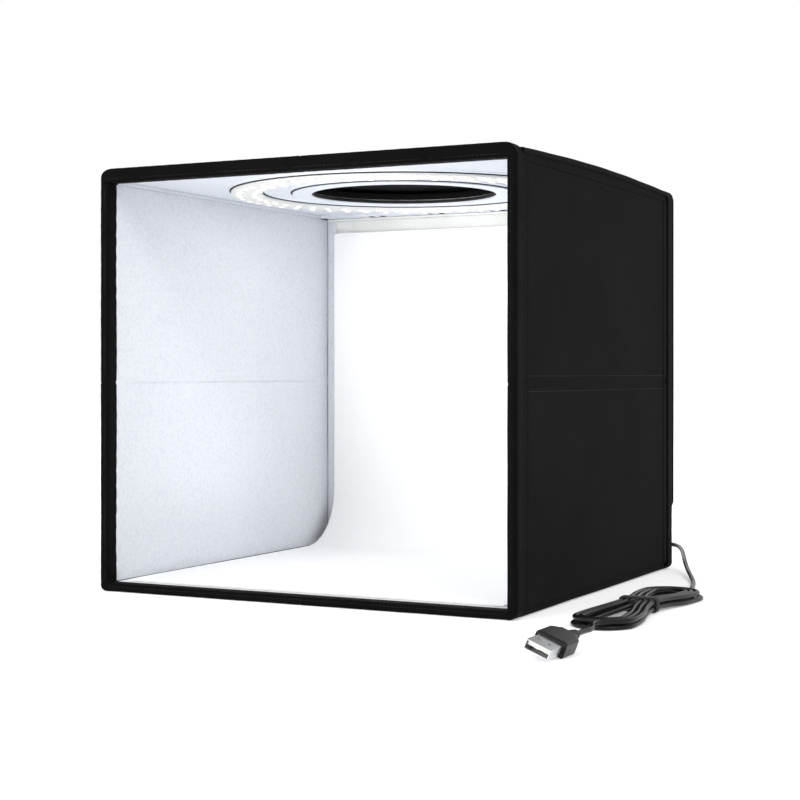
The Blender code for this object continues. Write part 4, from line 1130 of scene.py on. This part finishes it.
def make_flap():
    side, low, high, groove = 62, 240.3, 241.5, 4.2
    outline = rounded_outline(-side + GAP, side, -side, side, 12)
    wave = ripple(2.7, (0.10, 61, 47), (0.05, 23, 29))
    flap = pillow("viewing_flap", outline, low + 0.1, high, CLOTH, wave, groove)
    finish_piece(flap, "flap", ["view_flap"])
    finish_piece(hem_band("flap_hem", outline, 0.45, 238.6, low + 0.5, CLOTH), "flap")
    sewn = [(p.x, p.y, high - 0.25) for p in (p * (1 - groove / side) for p in outline)]
    stitches("flap_stitches", "flap", list(zip(sewn, sewn[1:] + sewn[:1])), (0, 0, 1))
    tab = rounded_outline(side - 6, side + 12.3, -9, 9, 2)
    finish_piece(pillow("flap_pull_loop", tab, high + 0.02, high + 0.65, BINDING, groove=1.4), "flap",
                 ["flap_pull_tab"])
    pad = rounded_outline(side - 6.3, side - 0.9, -13, 13, 0.8)
    hook = pillow("flap_hook_fuzz", pad, 239.5 + GAP, 240.0 + GAP, HOOKS)
    finish_piece(hook, "flap", ["flap_hook_pad"])
    finish_piece(pillow("flap_loop_fuzz", pad, 238.6, 239.2, HOOKS), "roof", ["flap_loop_pad"])
    strip = cloth("flap_hinge_cloth", (-68.4, -50, 241.95), (-56.0, 50, 241.95), "xy", 1, BINDING, 0.3, 0.35,
                  pitch=0.8, lift=ripple(3.3, (0.04, 11, 17)))
    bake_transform(strip)
    foot = pillow("flap_hinge_foot", rounded_outline(-68.3, -62.4, -50, 50, 0.8), 238.5, 241.55, BINDING)
    finish_piece(foot, "roof", ["flap_hinge_strip"])


make_flap()


# Inner lead and tie
def make_inner_lead():
    low = 17.3
    points = [(79.41, 85.71, 232.6), (79.41, 90.71, 232.6), (92, 105.95, 230), (104, 117.95, 228.5),
              (109, 123.95, 224), (109, 124.45, 214), (109, 124.45, 120), (109, 124.45, 53.7),
              (109, 124.45, 38.7), (109, 126.1, 25.35), (109, 126.1, low)]
    tube = make_tube("ring_lead", curve_through(points, 2.5), 1.6, RUBBER, 3)
    mesh = evaluated_mesh(tube)
    bpy.data.objects.remove(tube)
    lead = finish_piece(add_object("ring_lead", mesh), "base", ["light_lead"])
    press_down(lead)


def hull(points):
    """The convex outline of (x, z) points, anticlockwise."""
    points = sorted(points)
    outline = []
    for line in (points, points[::-1]):
        chain = []
        for x, z in line:
            while len(chain) > 1 and ((chain[-1][0] - chain[-2][0]) * (z - chain[-2][1])
                                      <= (chain[-1][1] - chain[-2][1]) * (x - chain[-2][0])):
                chain.pop()
            chain.append((x, z))
        outline += chain[:-1]
    return outline


def make_tie():
    """Three turns of a round elastic band, drawn tight round the runs of the hank at its waist."""
    thick, sides, waist, sunk, half_width = 0.62, 10, HANK_CENTRE.y, 0.08, 11
    reach = CORD / 2 + thick - sunk
    ends = []
    for p, q in zip(CORD_POINTS, CORD_POINTS[1:]):
        if (p.y - waist) * (q.y - waist) <= 0 and p.y != q.y:
            run = p.lerp(q, (waist - p.y) / (q.y - p.y))
            ends += [(run.x + reach * c, run.z + reach * s) for c, s in circle(32)]
    around = evenly([Vector((x, 0, z)) for x, z in hull(ends)], 0.8)
    middle = sum(around, Vector()) / len(around)
    bm = bmesh.new()
    for offset, skew in ((-1.55, 0.35), (-0.1, -0.3), (1.45, 0.2)):
        rings = []
        for before, here, after in zip([around[-1]] + around, around, around[1:] + around[:1]):
            along = (after - before).normalized()
            outward = Vector((along.z, 0, -along.x))
            centre = here + Vector((0, waist + offset + skew * (here.x - middle.x) / half_width, 0))
            rings.append([bm.verts.new(centre + thick * (outward * c + UNITS[1] * s))
                          for c, s in circle(sides)])
        bridge(bm, rings, joined=True)
    finish_piece(from_bmesh("hank_band", bm, HOOKS, 60), "base", ["hank_tie"])


make_inner_lead()
make_tie()


# Stage and light, in metres
def seen_directly(tree, otherwise, level):
    """A strength for what the camera, gloss and glass see, and another for the light on the object."""
    rays = tree.node("LightPath").outputs
    seen = tree.maths("MAXIMUM", rays["Is Camera Ray"], rays["Is Glossy Ray"])
    return tree.spread(tree.maths("MAXIMUM", seen, rays["Is Transmission Ray"]), otherwise, level)


def make_stage():
    half = 6.0
    mesh = bpy.data.meshes.new("table")
    corners = [(half * x, half * y, 0) for x, y in ((-1, -1), (1, -1), (1, 1), (-1, 1))]
    mesh.from_pydata(corners, [], [(0, 1, 2, 3)])
    made = Finish("table_white", (0.97, 0.97, 0.97), 0.9, Specular_IOR_Level=0.1, Emission_Color=(1, 1, 1, 1))
    made.set(Emission_Strength=seen_directly(made, 0.0, 0.32))
    add_object("table", mesh, made.material)
    world = bpy.data.worlds.new("studio")
    bpy.context.scene.world = world
    sky = Tree(world)
    background = sky.tree.nodes["Background"].inputs
    sky.feed(background["Color"], (1, 1, 1, 1))
    sky.feed(background["Strength"], seen_directly(sky, 0.85, 1.0))
    bpy.context.scene.view_settings.view_transform = "Standard"


def area_lamp(name, place, target, size, watts, colour=(1, 1, 1), spread=180):
    data = bpy.data.lights.new(name, "AREA")
    data.shape = "DISK"
    data.size, data.energy, data.color, data.spread = size, watts, colour, math.radians(spread)
    lamp = add_object(name, data)
    lamp.location = place
    lamp.rotation_euler = (Vector(target) - Vector(place)).to_track_quat("-Z", "Y").to_euler()
    lamp.visible_camera = False


make_stage()
area_lamp("key", (1.5, -1.2, 1.3), (0.1, 0, 0.12), 0.7, 12)
area_lamp("fill", (-0.5, -1.6, 0.9), (0, 0, 0.12), 1.0, 7)
area_lamp("front", (-0.35, -1.4, 0.08), (0, 0, 0.16), 0.9, 5)
area_lamp("inside", (0, 0, 0.2285), (0, 0, 0), 0.17, 0.10, (1, 0.99, 0.97))
area_lamp("backdrop_top", (0, -0.36, 0.10), (0, 0.124, 0.222), 0.10, 0.04, spread=38)
area_lamp("wash_up", (0, -0.03, 0.03), (0, -0.02, 0.2), 0.15, 0.075)
area_lamp("behind", (-0.9, 1.6, 1.1), (0, 0, 0.12), 1.0, 7)
